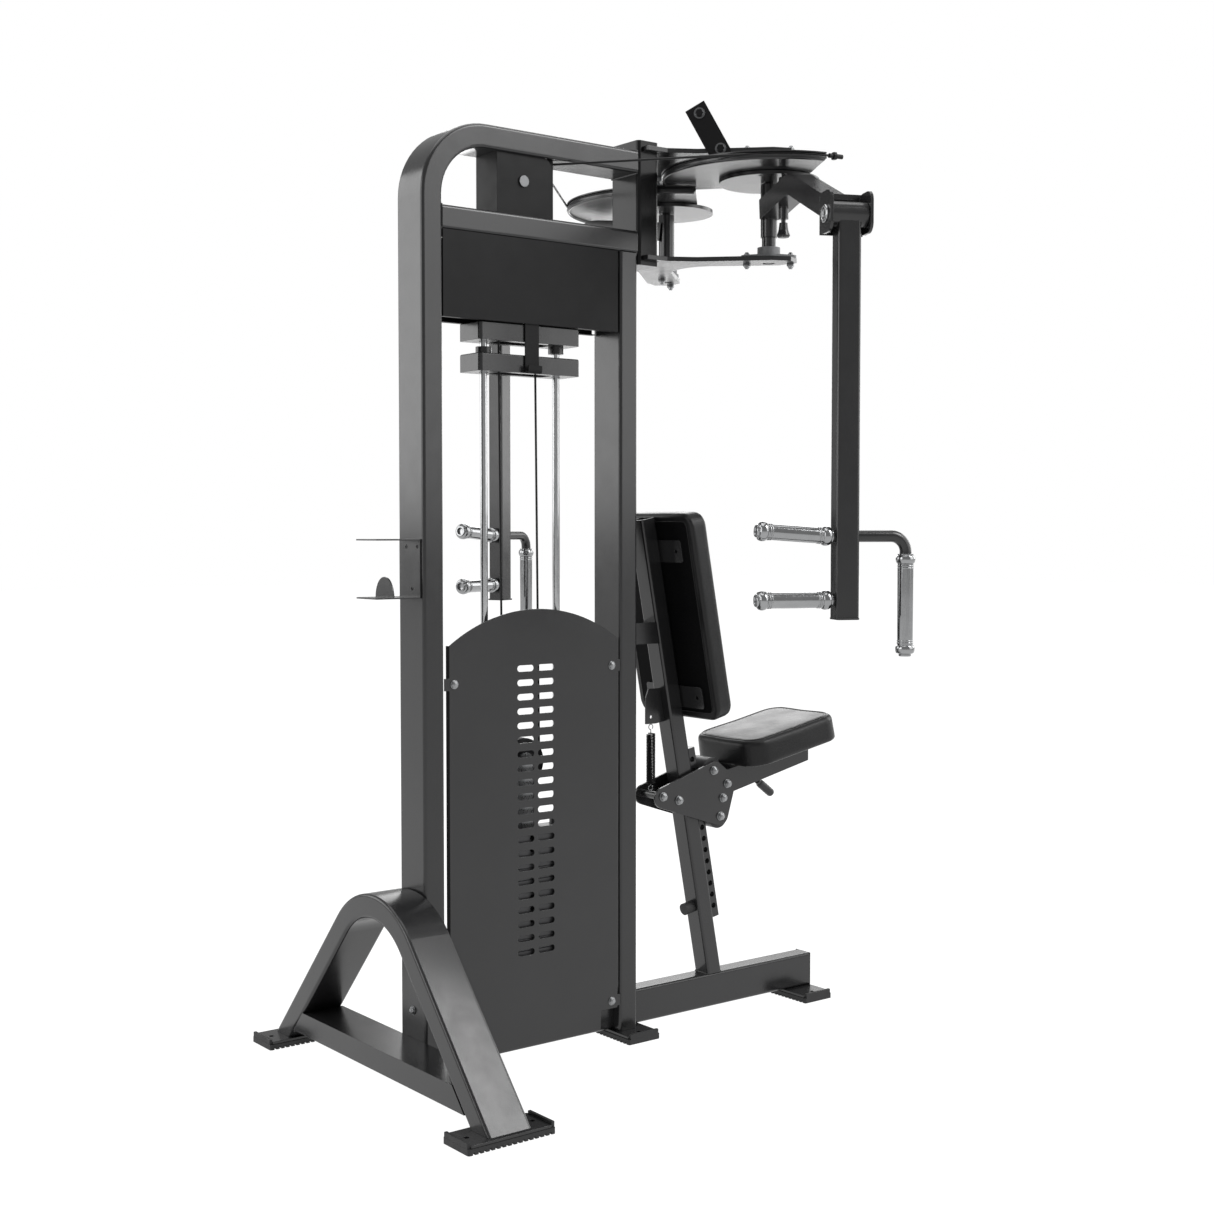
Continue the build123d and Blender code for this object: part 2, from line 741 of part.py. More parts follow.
def make_flange_bearings():
    """Two-bolt flange units above the lower plate and below the upper one."""
    with BuildPart() as group:
        for side in (-1, 1):
            lean = 128 if side > 0 else 52
            for face_z, way in BEARING_FACES:
                with BuildSketch(Plane.XY.move(Location((side * PIVOT_X, PIVOT_Y, face_z)))):
                    Circle(30)
                    with PolarLocations(BEARING_BOLT_R, 2, start_angle=lean):
                        Circle(13)
                    make_hull()
                    Circle(SHAFT_R + RUNNING, mode=Mode.SUBTRACT)
                    with PolarLocations(BEARING_BOLT_R, 2, start_angle=lean):
                        Circle(5.3, mode=Mode.SUBTRACT)
                extrude(amount=way * 8)
                with BuildSketch(Plane.XY.move(Location((side * PIVOT_X, PIVOT_Y, face_z)))):
                    Circle(26)
                    Circle(SHAFT_R + RUNNING, mode=Mode.SUBTRACT)
                extrude(amount=way * BEARING_T)
    return group


def make_bearing_bolts():
    """Bolts through each flange unit and its plate, with a nut on the far side."""
    with BuildPart() as group:
        for side in (-1, 1):
            lean = 128 if side > 0 else 52
            for face_z, way in BEARING_FACES:
                pivot = Plane.XY.move(Location((side * PIVOT_X, PIVOT_Y, face_z)))
                with BuildSketch(pivot.offset(way * 8)):
                    with PolarLocations(BEARING_BOLT_R, 2, start_angle=lean):
                        RegularPolygon(9, 6)
                extrude(amount=way * 7)
                with BuildSketch(pivot.offset(way * 15)):
                    with PolarLocations(BEARING_BOLT_R, 2, start_angle=lean):
                        Circle(5)
                extrude(amount=-way * (15 + CARRIER_PLATE_T + 13))
                with BuildSketch(pivot.offset(-way * CARRIER_PLATE_T)):
                    with PolarLocations(BEARING_BOLT_R, 2, start_angle=lean):
                        RegularPolygon(9, 6)
                extrude(amount=-way * 8)
    return group


def make_stop_bar():
    """Leaning flat bar on the upper plate's right-hand edge, with two bolts."""
    edge = Vector(0.70, 0.714, 0)
    outward = Vector(-0.714, 0.70, 0)
    foot = (-141.2, -236.2, UPPER_PLATE_Z)
    bar_plane = Plane(origin=foot, x_dir=-edge, z_dir=outward)
    with BuildPart() as piece:
        with BuildSketch(bar_plane):
            with BuildLine():
                Polyline((25, -10), (-22, -10), (-78, 92), (-36, 116), (25, 6), (25, -10))
            make_face()
        extrude(amount=6)
        for spot in ((2, 8), (-46, 88)):
            with BuildSketch(bar_plane.offset(6)):
                with Locations(spot):
                    RegularPolygon(9, 6)
            extrude(amount=6)
    return piece


# -------------------------------------------------------------- cams and selectors
def chord_cut(bearing, distance):
    """Everything beyond a straight line at a bearing and distance from the pivot."""
    reach = 2 * CAM_R
    with BuildSketch() as cut:
        with Locations((distance + reach / 2, 0)):
            Rectangle(reach, 2 * reach)
    return cut.sketch.moved(Location((0, 0, 0), (0, 0, bearing)))


def make_right_cam(z):
    """Sector wheel: flat web, raised rim with a cable groove, two front chords."""
    with BuildPart() as piece:
        with BuildSketch(Plane.XY):
            Circle(CAM_R)
            Circle(SHAFT_R, mode=Mode.SUBTRACT)
            add(chord_cut(*INNER_CHORD), mode=Mode.SUBTRACT)
            add(chord_cut(*OUTER_CHORD), mode=Mode.SUBTRACT)
        extrude(amount=CAM_PLATE_T)
        with BuildSketch(Plane.XY):
            Circle(CAM_R)
            Circle(CAM_R - 17, mode=Mode.SUBTRACT)
            add(chord_cut(*INNER_CHORD), mode=Mode.SUBTRACT)
            add(chord_cut(*OUTER_CHORD), mode=Mode.SUBTRACT)
        extrude(amount=CAM_H)
        with BuildSketch(Plane.XZ):
            with Locations((CAM_GROOVE_R + CAM_R / 2, CAM_H / 2 + 1)):
                Rectangle(CAM_R, 2 * CABLE_R + 1)
        revolve(axis=Axis.Z, mode=Mode.SUBTRACT)
    with BuildPart() as placed:
        with Locations((-PIVOT_X, PIVOT_Y, z)):
            add(piece.part)
    return placed


def make_right_selector(cam_z):
    """Hole plate under the cam, the pivot shaft and its collars."""
    first = ARM_BEARING - 2 * SELECTOR_STEP
    with BuildPart() as piece:
        with BuildSketch(Plane.XY.offset(cam_z - 1 - SELECTOR_PLATE_T)):
            Circle(SELECTOR_PLATE_R)
            with PolarLocations(SELECTOR_RING_R, 4, first, 3 * SELECTOR_STEP, endpoint=True):
                Circle(5.4, mode=Mode.SUBTRACT)
        extrude(amount=SELECTOR_PLATE_T)
        with BuildSketch(Plane.XY.offset(cam_z - 1)):
            Circle(24)
        extrude(amount=1)
        with BuildSketch(Plane.XY.offset(LOWER_PLATE_Z + 1)):
            Circle(SHAFT_R)
        extrude(amount=UPPER_PLATE_Z + 8 - LOWER_PLATE_Z)
        with BuildSketch(Plane.XY.offset(LOWER_PLATE_Z + CARRIER_PLATE_T + BEARING_T + 1)):
            Circle(16)
        extrude(amount=SLEEVE_Z0 - 0.5 - LOWER_PLATE_Z - CARRIER_PLATE_T - BEARING_T - 1)
        with BuildSketch(Plane.XY.offset(cam_z + CAM_PLATE_T)):
            Circle(24)
        extrude(amount=UPPER_PLATE_Z - BEARING_T - 1 - cam_z - CAM_PLATE_T)
    with BuildPart() as placed:
        with Locations((-PIVOT_X, PIVOT_Y, 0)):
            add(piece.part)
    return placed


def make_right_cable_end(cam_z):
    """Cable lying in the cam's groove and its threaded end clamped to the cam."""
    groove = CAM_GROOVE_R + CABLE_R + 0.3
    z = cam_z + CAM_H / 2 + 1
    first = INNER_CHORD[0] + degrees(acos(INNER_CHORD[1] / CAM_R)) + 2
    last = OUTER_CHORD[0] - degrees(acos(OUTER_CHORD[1] / CAM_R)) + 2
    end = (groove * cos(radians(last)), groove * sin(radians(last)), z)
    ahead = Vector(-sin(radians(last)), cos(radians(last)), 0)
    with BuildPart() as piece:
        with BuildLine() as path:
            CenterArc((0, 0, z), groove, first, last - first)
        with BuildSketch(Plane(path.line @ 0, z_dir=path.line % 0)):
            Circle(CABLE_R)
        sweep(path=path.line)
        with BuildSketch(Plane(origin=end, z_dir=ahead)):
            Circle(5)
        extrude(amount=34)
        with BuildSketch(Plane(origin=Vector(*end) + ahead * 10, z_dir=ahead)):
            RegularPolygon(9, 6)
        extrude(amount=7)
    with BuildPart() as placed:
        with Locations((-PIVOT_X, PIVOT_Y, 0)):
            add(piece.part)
    return placed


# -------------------------------------------------------------------------- arms
TURN = radians(ARM_BEARING)
RADIAL = Vector(cos(TURN), sin(TURN), 0)
SIDEWAYS = Vector(sin(TURN), -cos(TURN), 0)


def arm_plane(offset=0):
    """Upright plane through the right-hand pivot along the arm; normal is rearward."""
    origin = Vector(-PIVOT_X, PIVOT_Y, 0) + SIDEWAYS * offset
    return Plane(origin=origin, x_dir=RADIAL, z_dir=SIDEWAYS)


def arm_band(width, reach=ARM_REACH - 32):
    with BuildSketch(arm_plane()) as band:
        with BuildLine():
            FilletPolyline((6, 1888), (195, 1910), (reach, 1805), radius=70)
        trace(line_width=width)
    return band


def make_right_arm(cam_z):
    """Welded arm: pivot sleeve, bent tube, pin housing and the hinge's forked bracket."""
    web_t = ARM_REACH - 35
    outer = arm_band(45)
    inner = arm_band(45 - 2 * WALL)
    with BuildPart() as piece:
        extrude(outer.sketch, amount=ARM_HALF, both=True)
        extrude(inner.sketch, amount=ARM_HALF - WALL, both=True, mode=Mode.SUBTRACT)
        with BuildSketch(Plane.XY.move(Location((-PIVOT_X, PIVOT_Y, SLEEVE_Z0)))):
            Circle(SLEEVE_R)
        extrude(amount=cam_z - SELECTOR_PLATE_T - 3 - SLEEVE_Z0)
        with BuildSketch(Plane.XY.move(Location((-PIVOT_X, PIVOT_Y, SLEEVE_Z0 - 1)))):
            Circle(SHAFT_R + RUNNING)
        extrude(amount=160, mode=Mode.SUBTRACT)
        with BuildSketch(arm_plane()):
            with Locations((web_t + 3, HINGE_Z + 4)):
                Rectangle(6, 84)
        extrude(amount=EAR_INNER + EAR_T, both=True)
        for start in (EAR_INNER, -EAR_INNER - EAR_T):
            with BuildSketch(arm_plane(start)) as ear:
                with Locations((web_t + 32, HINGE_Z + 4)):
                    Rectangle(64, 84)
                fillet(ear.vertices().group_by(Axis.Z)[0], 20)
            extrude(amount=EAR_T)
        with BuildSketch(arm_plane(-EAR_INNER - EAR_T - 1)):
            with Locations((ARM_REACH, HINGE_Z)):
                Circle(HINGE_PIN_R + 0.02)
        extrude(amount=2 * (EAR_INNER + EAR_T + 1), mode=Mode.SUBTRACT)
        housing = Vector(-PIVOT_X, PIVOT_Y, 1850) + RADIAL * SELECTOR_RING_R
        with BuildSketch(Plane.XY.move(Location(housing))):
            Circle(11)
        extrude(amount=cam_z - SELECTOR_PLATE_T - 7 - 1850)
        with BuildSketch(Plane.XY.move(Location(housing - Vector(0, 0, 1)))):
            Circle(5.3)
        extrude(amount=150, mode=Mode.SUBTRACT)
    return piece


def make_right_pull_pin(cam_z):
    """Plunger with a flared knob under the arm, its tip just clear of the hole plate."""
    foot = Vector(-PIVOT_X, PIVOT_Y, 1810) + RADIAL * SELECTOR_RING_R
    tip = cam_z - 1 - SELECTOR_PLATE_T - 0.5
    with BuildPart() as piece:
        with BuildSketch(Plane.XZ):
            with BuildLine():
                Polyline((0, 0), (12, 0), (15, 4), (11, 16), (9, 32), (0, 32), (0, 0))
            make_face()
        revolve(axis=Axis.Z)
        with BuildSketch(Plane.XY.offset(30)):
            Circle(5)
        extrude(amount=tip - 1840)
    with BuildPart() as placed:
        with Locations(foot):
            add(piece.part)
    return placed


def make_right_hinge_pin():
    """Chrome pin through the forked bracket with a round cap on each end."""
    reach = EAR_INNER + EAR_T
    with BuildPart() as piece:
        with BuildSketch(arm_plane(-reach)):
            with Locations((ARM_REACH, HINGE_Z)):
                Circle(HINGE_PIN_R)
        extrude(amount=2 * reach)
        for start in (reach, -reach - 5):
            with BuildSketch(arm_plane(start)):
                with Locations((ARM_REACH, HINGE_Z)):
                    Circle(18)
            extrude(amount=5)
        chamfer(piece.edges().filter_by(GeomType.CIRCLE).sort_by(Edge.length)[-4:], 1.2)
    return piece


def grip_start(z, lean):
    """Plane at the forearm's rear face along which a rear grip points."""
    tilt = radians(lean)
    way = SIDEWAYS * cos(tilt) + Vector(0, 0, sin(tilt))
    origin = Vector(-PIVOT_X, PIVOT_Y, z) + RADIAL * ARM_REACH + SIDEWAYS * (ARM_HALF - 3)
    return Plane(origin=origin, x_dir=RADIAL, z_dir=way)


def make_right_forearm():
    """Hanging tube with its hinge barrel, rear stubs and the bent front bar."""
    with BuildPart() as piece:
        with BuildSketch(arm_plane()):
            with Locations((ARM_REACH, (FOREARM_Z0 + HINGE_Z) / 2)):
                Rectangle(FOREARM_RADIAL, HINGE_Z - FOREARM_Z0)
        extrude(amount=ARM_HALF, both=True)
        fillet(piece.edges().filter_by(Axis.Z), CORNER)
        with BuildSketch(arm_plane()):
            with Locations((ARM_REACH, (FOREARM_Z0 + HINGE_Z) / 2)):
                Rectangle(FOREARM_RADIAL - 2 * WALL, HINGE_Z - FOREARM_Z0 - 2 * WALL)
        extrude(amount=ARM_HALF - WALL, both=True, mode=Mode.SUBTRACT)
        with BuildSketch(arm_plane(1 - EAR_INNER)):
            with Locations((ARM_REACH, HINGE_Z)):
                Circle(25)
        extrude(amount=2 * (EAR_INNER - 1))
        with BuildSketch(arm_plane(-EAR_INNER)):
            with Locations((ARM_REACH, HINGE_Z)):
                Circle(HINGE_PIN_R + RUNNING)
        extrude(amount=2 * EAR_INNER, mode=Mode.SUBTRACT)
        for z, lean in REAR_GRIPS:
            with BuildSketch(grip_start(z, lean)):
                Circle(HANDLE_R)
            extrude(amount=GRIP_LENGTH - 12)
        corner = Vector(-PIVOT_X, PIVOT_Y, BAR_Z) + RADIAL * ARM_REACH - SIDEWAYS * BAR_REACH
        root = corner + SIDEWAYS * (BAR_REACH - ARM_HALF + 3)
        low = Vector(corner.X, corner.Y, DROP_GRIP[1] + 12)
        with BuildLine() as bar:
            FilletPolyline(root, corner, low, radius=32)
        with BuildSketch(Plane(bar.line @ 0, z_dir=bar.line % 0)):
            Circle(HANDLE_R)
        sweep(path=bar.line)
    return piece


def grip_body(length):
    """Turned grip along Z: plain barrel, two bead rings, closed outer end."""
    bore = HANDLE_R + GRIP_GAP
    with BuildPart() as piece:
        with BuildSketch(Plane.XZ):
            with Locations((GRIP_R / 2, length / 2)):
                Rectangle(GRIP_R, length - 4)
            for z in (14, length - 15):
                with Locations((GRIP_R, z)):
                    Ellipse(5.5, 10)
            for z in (30, length - 31):
                with Locations((GRIP_R, z)):
                    Ellipse(1.6, 3)
            with Locations((bore / 2, length / 2 - 10)):
                Rectangle(bore, length, mode=Mode.SUBTRACT)
            with Locations((-20, length / 2)):
                Rectangle(40, 2 * length, mode=Mode.SUBTRACT)
        revolve(axis=Axis.Z)
    return piece


def make_right_grips():
    rear = grip_body(GRIP_LENGTH)
    drop = grip_body(DROP_GRIP[0] - DROP_GRIP[1])
    corner = Vector(-PIVOT_X, PIVOT_Y, DROP_GRIP[0]) + RADIAL * ARM_REACH - SIDEWAYS * BAR_REACH
    with BuildPart() as group:
        for z, lean in REAR_GRIPS:
            start = grip_start(z, lean)
            add(rear.part.moved(start.offset(6).location))
        down = Plane(origin=corner, x_dir=RADIAL, z_dir=(0, 0, -1))
        add(drop.part.moved(down.location))
    return group


# -------------------------------------------------------------------------- seat
def along_post(z):
    """Point on the seat post's centre line at height z."""
    return post_rear_y(z) - POST_DEPTH / 2 / cos(radians(RAKE))


def make_seat_post():
    """Raked tube standing on the base tube, cut level at the foot."""
    lean = radians(RAKE)
    low = BASE_Z1 - 30
    foot = Plane(origin=(0, along_post(low), low), x_dir=(1, 0, 0), z_dir=(0, sin(lean), cos(lean)))
    body = tube(foot, POST_W, POST_DEPTH, (POST_TOP - low) / cos(lean), corner=6)
    with BuildPart() as piece:
        add(body.part)
        with Locations((0, along_post(low), BASE_Z1 - 50)):
            Box(200, 200, 100, mode=Mode.SUBTRACT)
    return piece


def make_seat_post_brace():
    """Level strut from the front post to the seat post."""
    low, high = BRACE_Z
    with BuildPart() as piece:
        with BuildSketch(across(-BASE_W / 2, 0, 0)):
            Polygon(
                (POST_FRONT, low), (POST_FRONT, high),
                (post_rear_y(high), high), (post_rear_y(low), low), align=None,
            )
        extrude(amount=BASE_W)
        with BuildSketch(across(-BASE_W / 2 + WALL, 0, 0)):
            Polygon(
                (POST_FRONT - 3, low + WALL), (POST_FRONT - 3, high - WALL),
                (post_rear_y(high) + 3, high - WALL), (post_rear_y(low) + 3, low + WALL), align=None,
            )
        extrude(amount=BASE_W - 2 * WALL, mode=Mode.SUBTRACT)
    return piece


def make_post_brackets():
    """Spring hanger behind the post and the two cross plates that carry the back pad."""
    sheet = 4
    with BuildPart() as group:
        with BuildSketch(across(-sheet / 2, 0, 0)):
            Polygon(
                (post_rear_y(712), 712), (post_rear_y(790), 790), (post_rear_y(790) + 34, 790),
                (SPRING_Y + 16, 770), (SPRING_Y + 16, 708), (SPRING_Y - 14, 708), align=None,
            )
            with Locations((SPRING_Y, 724)):
                Circle(4, mode=Mode.SUBTRACT)
        extrude(amount=sheet)
        for z in (1110, 770):
            mid = Plane(
                origin=(0, post_rear_y(z) - POST_DEPTH / cos(radians(RAKE)), z), x_dir=(1, 0, 0),
                z_dir=(0, -cos(radians(RAKE)), sin(radians(RAKE))),
            )
            with BuildSketch(mid):
                RectangleRounded(200, 52, 6)
                with GridLocations(160, 0, 2, 1):
                    Circle(4.5, mode=Mode.SUBTRACT)
            extrude(amount=sheet)
    return group


def make_back_pad():
    """Plain closed form of the back cushion, flat against its cross plates."""
    width, length, thick = BACK_PAD
    z = 957
    lean = radians(RAKE)
    gap = POST_DEPTH / cos(lean) + 4.5 / cos(lean)
    rear = Plane(origin=(0, post_rear_y(z) - gap, z), x_dir=(1, 0, 0), z_dir=(0, -cos(lean), sin(lean)))
    with BuildPart() as piece:
        with BuildSketch(rear):
            RectangleRounded(width, length, 34)
        extrude(amount=thick)
        fillet(piece.faces().sort_by(Axis.Y)[0].outer_wire().edges(), 10)
    return piece


def seat_plane(lift):
    """Plane through the seat cushion, square to the post, facing up it."""
    lean = radians(RAKE)
    up = Vector(0, sin(lean), cos(lean))
    origin = Vector(0, SEAT_CENTRE_Y, SEAT_TOP_Z) + up * lift
    return Plane(origin=origin, x_dir=(1, 0, 0), z_dir=up)


def make_seat_pad():
    width, length, thick = SEAT_PAD
    with BuildPart() as piece:
        with BuildSketch(seat_plane(-thick)):
            RectangleRounded(width, length, 52)
        extrude(amount=thick)
        fillet(piece.faces().sort_by(Axis.Z)[-1].outer_wire().edges(), 14)
    return piece


def beside_post(z, out):
    """Y of a point at height z, a distance in front of the post's rear face."""
    return post_rear_y(z) - out / cos(radians(RAKE))


ROLLERS = {
    "rear_roller": (beside_post(528, -21 - ROLLER_GAP), 528, 21),
    "upper_roller": (beside_post(589, RAIL_OUT + 30), 589, 30),
    "lower_roller": (beside_post(478, RAIL_OUT + 30), 478, 30),
}


def make_seat_rack():
    """Drilled rail on the front of the seat post, where the seat's rollers run."""
    length = 420
    low = 232
    lean = radians(RAKE)
    start = Plane(
        origin=(0, beside_post(low, POST_DEPTH + RACK_DEPTH / 2), low), x_dir=(1, 0, 0),
        z_dir=(0, sin(lean), cos(lean)),
    )
    with BuildPart() as piece:
        with BuildSketch(start):
            Rectangle(32, RACK_DEPTH)
        extrude(amount=length)
        for number in range(14):
            up = Vector(0, sin(lean), cos(lean)) * (28 + 28 * number)
            with BuildSketch(Plane(origin=start.origin + up, x_dir=(0, 0, 1), z_dir=(1, 0, 0))):
                Circle(6.5)
            extrude(amount=17, both=True, mode=Mode.SUBTRACT)
    return piece


def make_seat_stop():
    """Rubber cylinder on the rear of the post that the seat carriage lands on."""
    z = 262
    lean = radians(RAKE)
    plane = Plane(origin=(0, post_rear_y(z), z), x_dir=(1, 0, 0), z_dir=(0, cos(lean), -sin(lean)))
    with BuildPart() as piece:
        with BuildSketch(plane):
            Circle(14)
        extrude(amount=26)
    return piece


def lobe(x, spots):
    """Plate outline wrapped round a few circles."""
    with BuildSketch(across(x, 0, 0)) as outline:
        for y, z, r in spots:
            with Locations((y, z)):
                Circle(r)
        make_hull()
    return outline


def side_plate(x):
    """One cheek of the seat carriage."""
    rear = lobe(x, ((-158, 538, 24), (-206, 524, 26), (-318, 584, 26), (-335, 482, 26)))
    nose = lobe(x, ((-318, 584, 26), (-357, 554, 26), (-335, 482, 26)))
    with BuildPart() as piece:
        extrude(rear.sketch, amount=SIDE_PLATE_T)
        extrude(nose.sketch, amount=SIDE_PLATE_T)
        with BuildSketch(across(x, 0, 0)):
            Polygon(
                (-330, seat_under(-330)), (-626, seat_under(-626)), (-626, 588),
                (-430, 545), (-352, 528), align=None,
            )
        extrude(amount=SIDE_PLATE_T)
    return piece


def seat_under(y):
    """Height of the underside of the seat's steel plate at y."""
    lean = radians(RAKE)
    drop = (SEAT_PAD[2] + SEAT_PLATE_T) / cos(lean)
    return SEAT_TOP_Z - drop - (y - SEAT_CENTRE_Y) * tan(lean)


def make_seat_carriage():
    """Two cheeks, the seat's steel plate, and the axles and spacers that tie them."""
    with BuildPart() as piece:
        for x in (-SIDE_PLATE_X - SIDE_PLATE_T, SIDE_PLATE_X):
            add(side_plate(x).part)
        with BuildSketch(seat_plane(-SEAT_PAD[2] - SEAT_PLATE_T - 0.4)):
            RectangleRounded(150, 232, 12)
        extrude(amount=SEAT_PLATE_T)
        for y, z in SPACERS:
            with BuildSketch(across(-SIDE_PLATE_X, y, z)):
                Circle(9)
            extrude(amount=2 * SIDE_PLATE_X)
        for y, z, _ in ROLLERS.values():
            with BuildSketch(across(-SIDE_PLATE_X, y, z)):
                Circle(AXLE_R)
            extrude(amount=2 * SIDE_PLATE_X)
        with BuildSketch(across(-SIDE_PLATE_X - 1, *LEVER_PIVOT)):
            Circle(5)
        extrude(amount=2 * SIDE_PLATE_X + 2)
    return piece


def make_seat_lever():
    """Release lever: a sleeve on its pivot rod and a bent handle with a plastic grip."""
    x = -16
    y, z = LEVER_PIVOT
    with BuildPart() as piece:
        with BuildSketch(across(-30, y, z)):
            Circle(9)
            Circle(5 + RUNNING, mode=Mode.SUBTRACT)
        extrude(amount=60)
        with BuildLine() as bar:
            Line((x, y - 7, z - 4), (x, y - 66, z - 46))
        with BuildSketch(Plane(bar.line @ 0, z_dir=bar.line % 0)):
            Circle(5)
        sweep(path=bar.line)
        tip = Plane(bar.line @ 0.35, z_dir=bar.line % 0)
        with BuildSketch(tip):
            Circle(7.5)
        extrude(amount=54)
    return piece


def make_roller(y, z, r):
    """Plastic wheel between the carriage cheeks."""
    with BuildPart() as piece:
        with BuildSketch(across(-SIDE_PLATE_X + 2, y, z)):
            Circle(r)
            Circle(AXLE_R + RUNNING, mode=Mode.SUBTRACT)
        extrude(amount=2 * (SIDE_PLATE_X - 2))
        chamfer(piece.edges().filter_by(GeomType.CIRCLE).sort_by(Edge.length)[-2:], 1.5)
    return piece


def make_tension_spring():
    """Outer form of the counterbalance spring with its two hooks."""
    with BuildPart() as piece:
        with BuildSketch(Plane.XY.move(Location((0, SPRING_Y, SPRING_LOW + 14)))):
            Circle(9.5)
        extrude(amount=SPRING_TOP - SPRING_LOW - 32)
        for start, reach in ((SPRING_LOW, 15), (SPRING_TOP - 19, 19)):
            with BuildSketch(Plane.XY.move(Location((0, SPRING_Y, start)))):
                Circle(2)
            extrude(amount=reach)
    return piece


# ------------------------------------------------------------------------- bolts
def facing(x, y, z, way):
    """Plane at a bolt's seat, facing the side its head is on."""
    return Plane(origin=(x, y, z), z_dir=way)


def make_frame_bolts():
    """Bolts of the foot, shelf and shroud, with those through the pivot bearings."""
    shelf_t = 3
    spots = [facing(0, REAR_FACE, 146, REARWARD)]
    spots += [facing(x, REAR_FACE + shelf_t, z, REARWARD) for x, z in ((-30, 1124), (14, 1124), (-9, 1037))]
    spots += [facing(-HALF_W, y - away * 24, z, NEAR) for y, away, z in SHROUD_TABS]
    heads = hex_heads(spots)
    through = make_bearing_bolts()
    return joined(heads, through)


def make_carriage_bolts():
    """Bolts of the carriage's rollers and spacers, with a nut on each side."""
    places = list(SPACERS) + [(y, z) for y, z, _ in ROLLERS.values()]
    x = SIDE_PLATE_X + SIDE_PLATE_T
    spots = [facing(-x, y, z, NEAR) for y, z in places] + [facing(x, y, z, FAR) for y, z in places]
    with BuildPart() as group:
        for spot in spots:
            with BuildSketch(spot):
                Circle(11)
            extrude(amount=1.6)
            with BuildSketch(spot.offset(1.6)):
                RegularPolygon(9.5, 6)
            extrude(amount=6)
            with BuildSketch(spot.offset(7.6)):
                Circle(4.5)
            extrude(amount=4)
    return group


# -------------------------------------------------------------------- write parts
save(make_rear_arch(), "rear_arch_tube")
save(make_front_post(), "front_post")
save(make_crossbar(), "crossbar")
save(make_base_tubes(), "base_tubes")
save(make_a_frame(), "a_frame_tube")
save(make_a_brace(), "a_frame_brace")
save(make_foot_plates(), "foot_plates")
save(make_rubber_feet(), "rubber_feet")
save(make_top_panel(), "top_panel")
save(make_shroud(), "weight_shroud")
save(make_accessory_shelf(), "accessory_shelf")
save(make_guide_rods(), "guide_rods")
save(joined(make_buffers(), make_seat_stop()), "rubber_stops")
save(make_plates(0, PLATES_BELOW), "lower_weight_plates")
save(make_plates(PLATES_BELOW, PLATES_LIFTED), "lifted_weight_plates")
save(make_stack_head(), "stack_head_plate")
save(make_selector_rod(), "selector_rod")
save(make_selector_pin(), "selector_pin")
save(make_sheave(0, STACK_Y, LIFT_PULLEY_Z, 53, 45.5), "lifting_pulley")
save(make_sheave(-SHEAVE_X, SHEAVE_Y, SHEAVE_Z), "right_sheave")
save(make_sheave(SHEAVE_X, SHEAVE_Y, SHEAVE_Z), "left_sheave")
save(make_sheave(SHEAVE_X, IDLER_Y, IDLER_Z, 26, IDLER_R - 0.5, 14), "idler_pulley")
save(make_pulley_bracket(), "pulley_bracket")
save(make_axles(), "pulley_axles")
save(make_cam_cables(), "cam_cables")
save(make_lift_cables(), "lift_cables")
save(make_add_on(UPPER_ADD_ON_Z, ROD_YS[0], UPPER_ADD_ON_Z - 16, 16), "upper_add_on_weight")
save(make_add_on(LOWER_ADD_ON_Z, ROD_YS[1], LOWER_ADD_ON_Z + ADD_ON_T, 16), "lower_add_on_weight")
save(make_carrier_tube(), "carrier_tube")
save(make_carrier_plates(), "carrier_plates")
save(make_flange_bearings(), "flange_bearings")
save(make_stop_bar(), "stop_bar")

for cam_z, name, turn_over in ((RIGHT_CAM_Z, "right", False), (LEFT_CAM_Z, "left", True)):
    side_parts = {
        "cam": make_right_cam(cam_z),
        "selector_plate": make_right_selector(cam_z),
        "cable_end": make_right_cable_end(cam_z),
        "arm": make_right_arm(cam_z),
        "pull_pin": make_right_pull_pin(cam_z),
        "hinge_pin": make_right_hinge_pin(),
        "forearm": make_right_forearm(),
        "grips": make_right_grips(),
    }
    for piece_name, piece in side_parts.items():
        save(mirrored(piece) if turn_over else piece, f"{name}_{piece_name}")

save(joined(make_seat_post(), make_seat_rack()), "seat_post")
save(joined(make_post_brackets(), make_seat_post_brace()), "seat_post_brackets")
save(make_back_pad(), "back_pad")
save(make_seat_carriage(), "seat_carriage")
save(make_seat_pad(), "seat_pad")
save(make_seat_lever(), "seat_lever")
save(make_tension_spring(), "tension_spring")
for roller_name, place in ROLLERS.items():
    save(make_roller(*place), roller_name)
save(make_frame_bolts(), "frame_bolts")
save(make_carriage_bolts(), "carriage_bolts")
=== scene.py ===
import json
from math import acos, asin, atan2, cos, degrees, hypot, pi, radians, sin

import bmesh
import bpy
from mathutils import Matrix, Vector
from mathutils.bvhtree import BVHTree


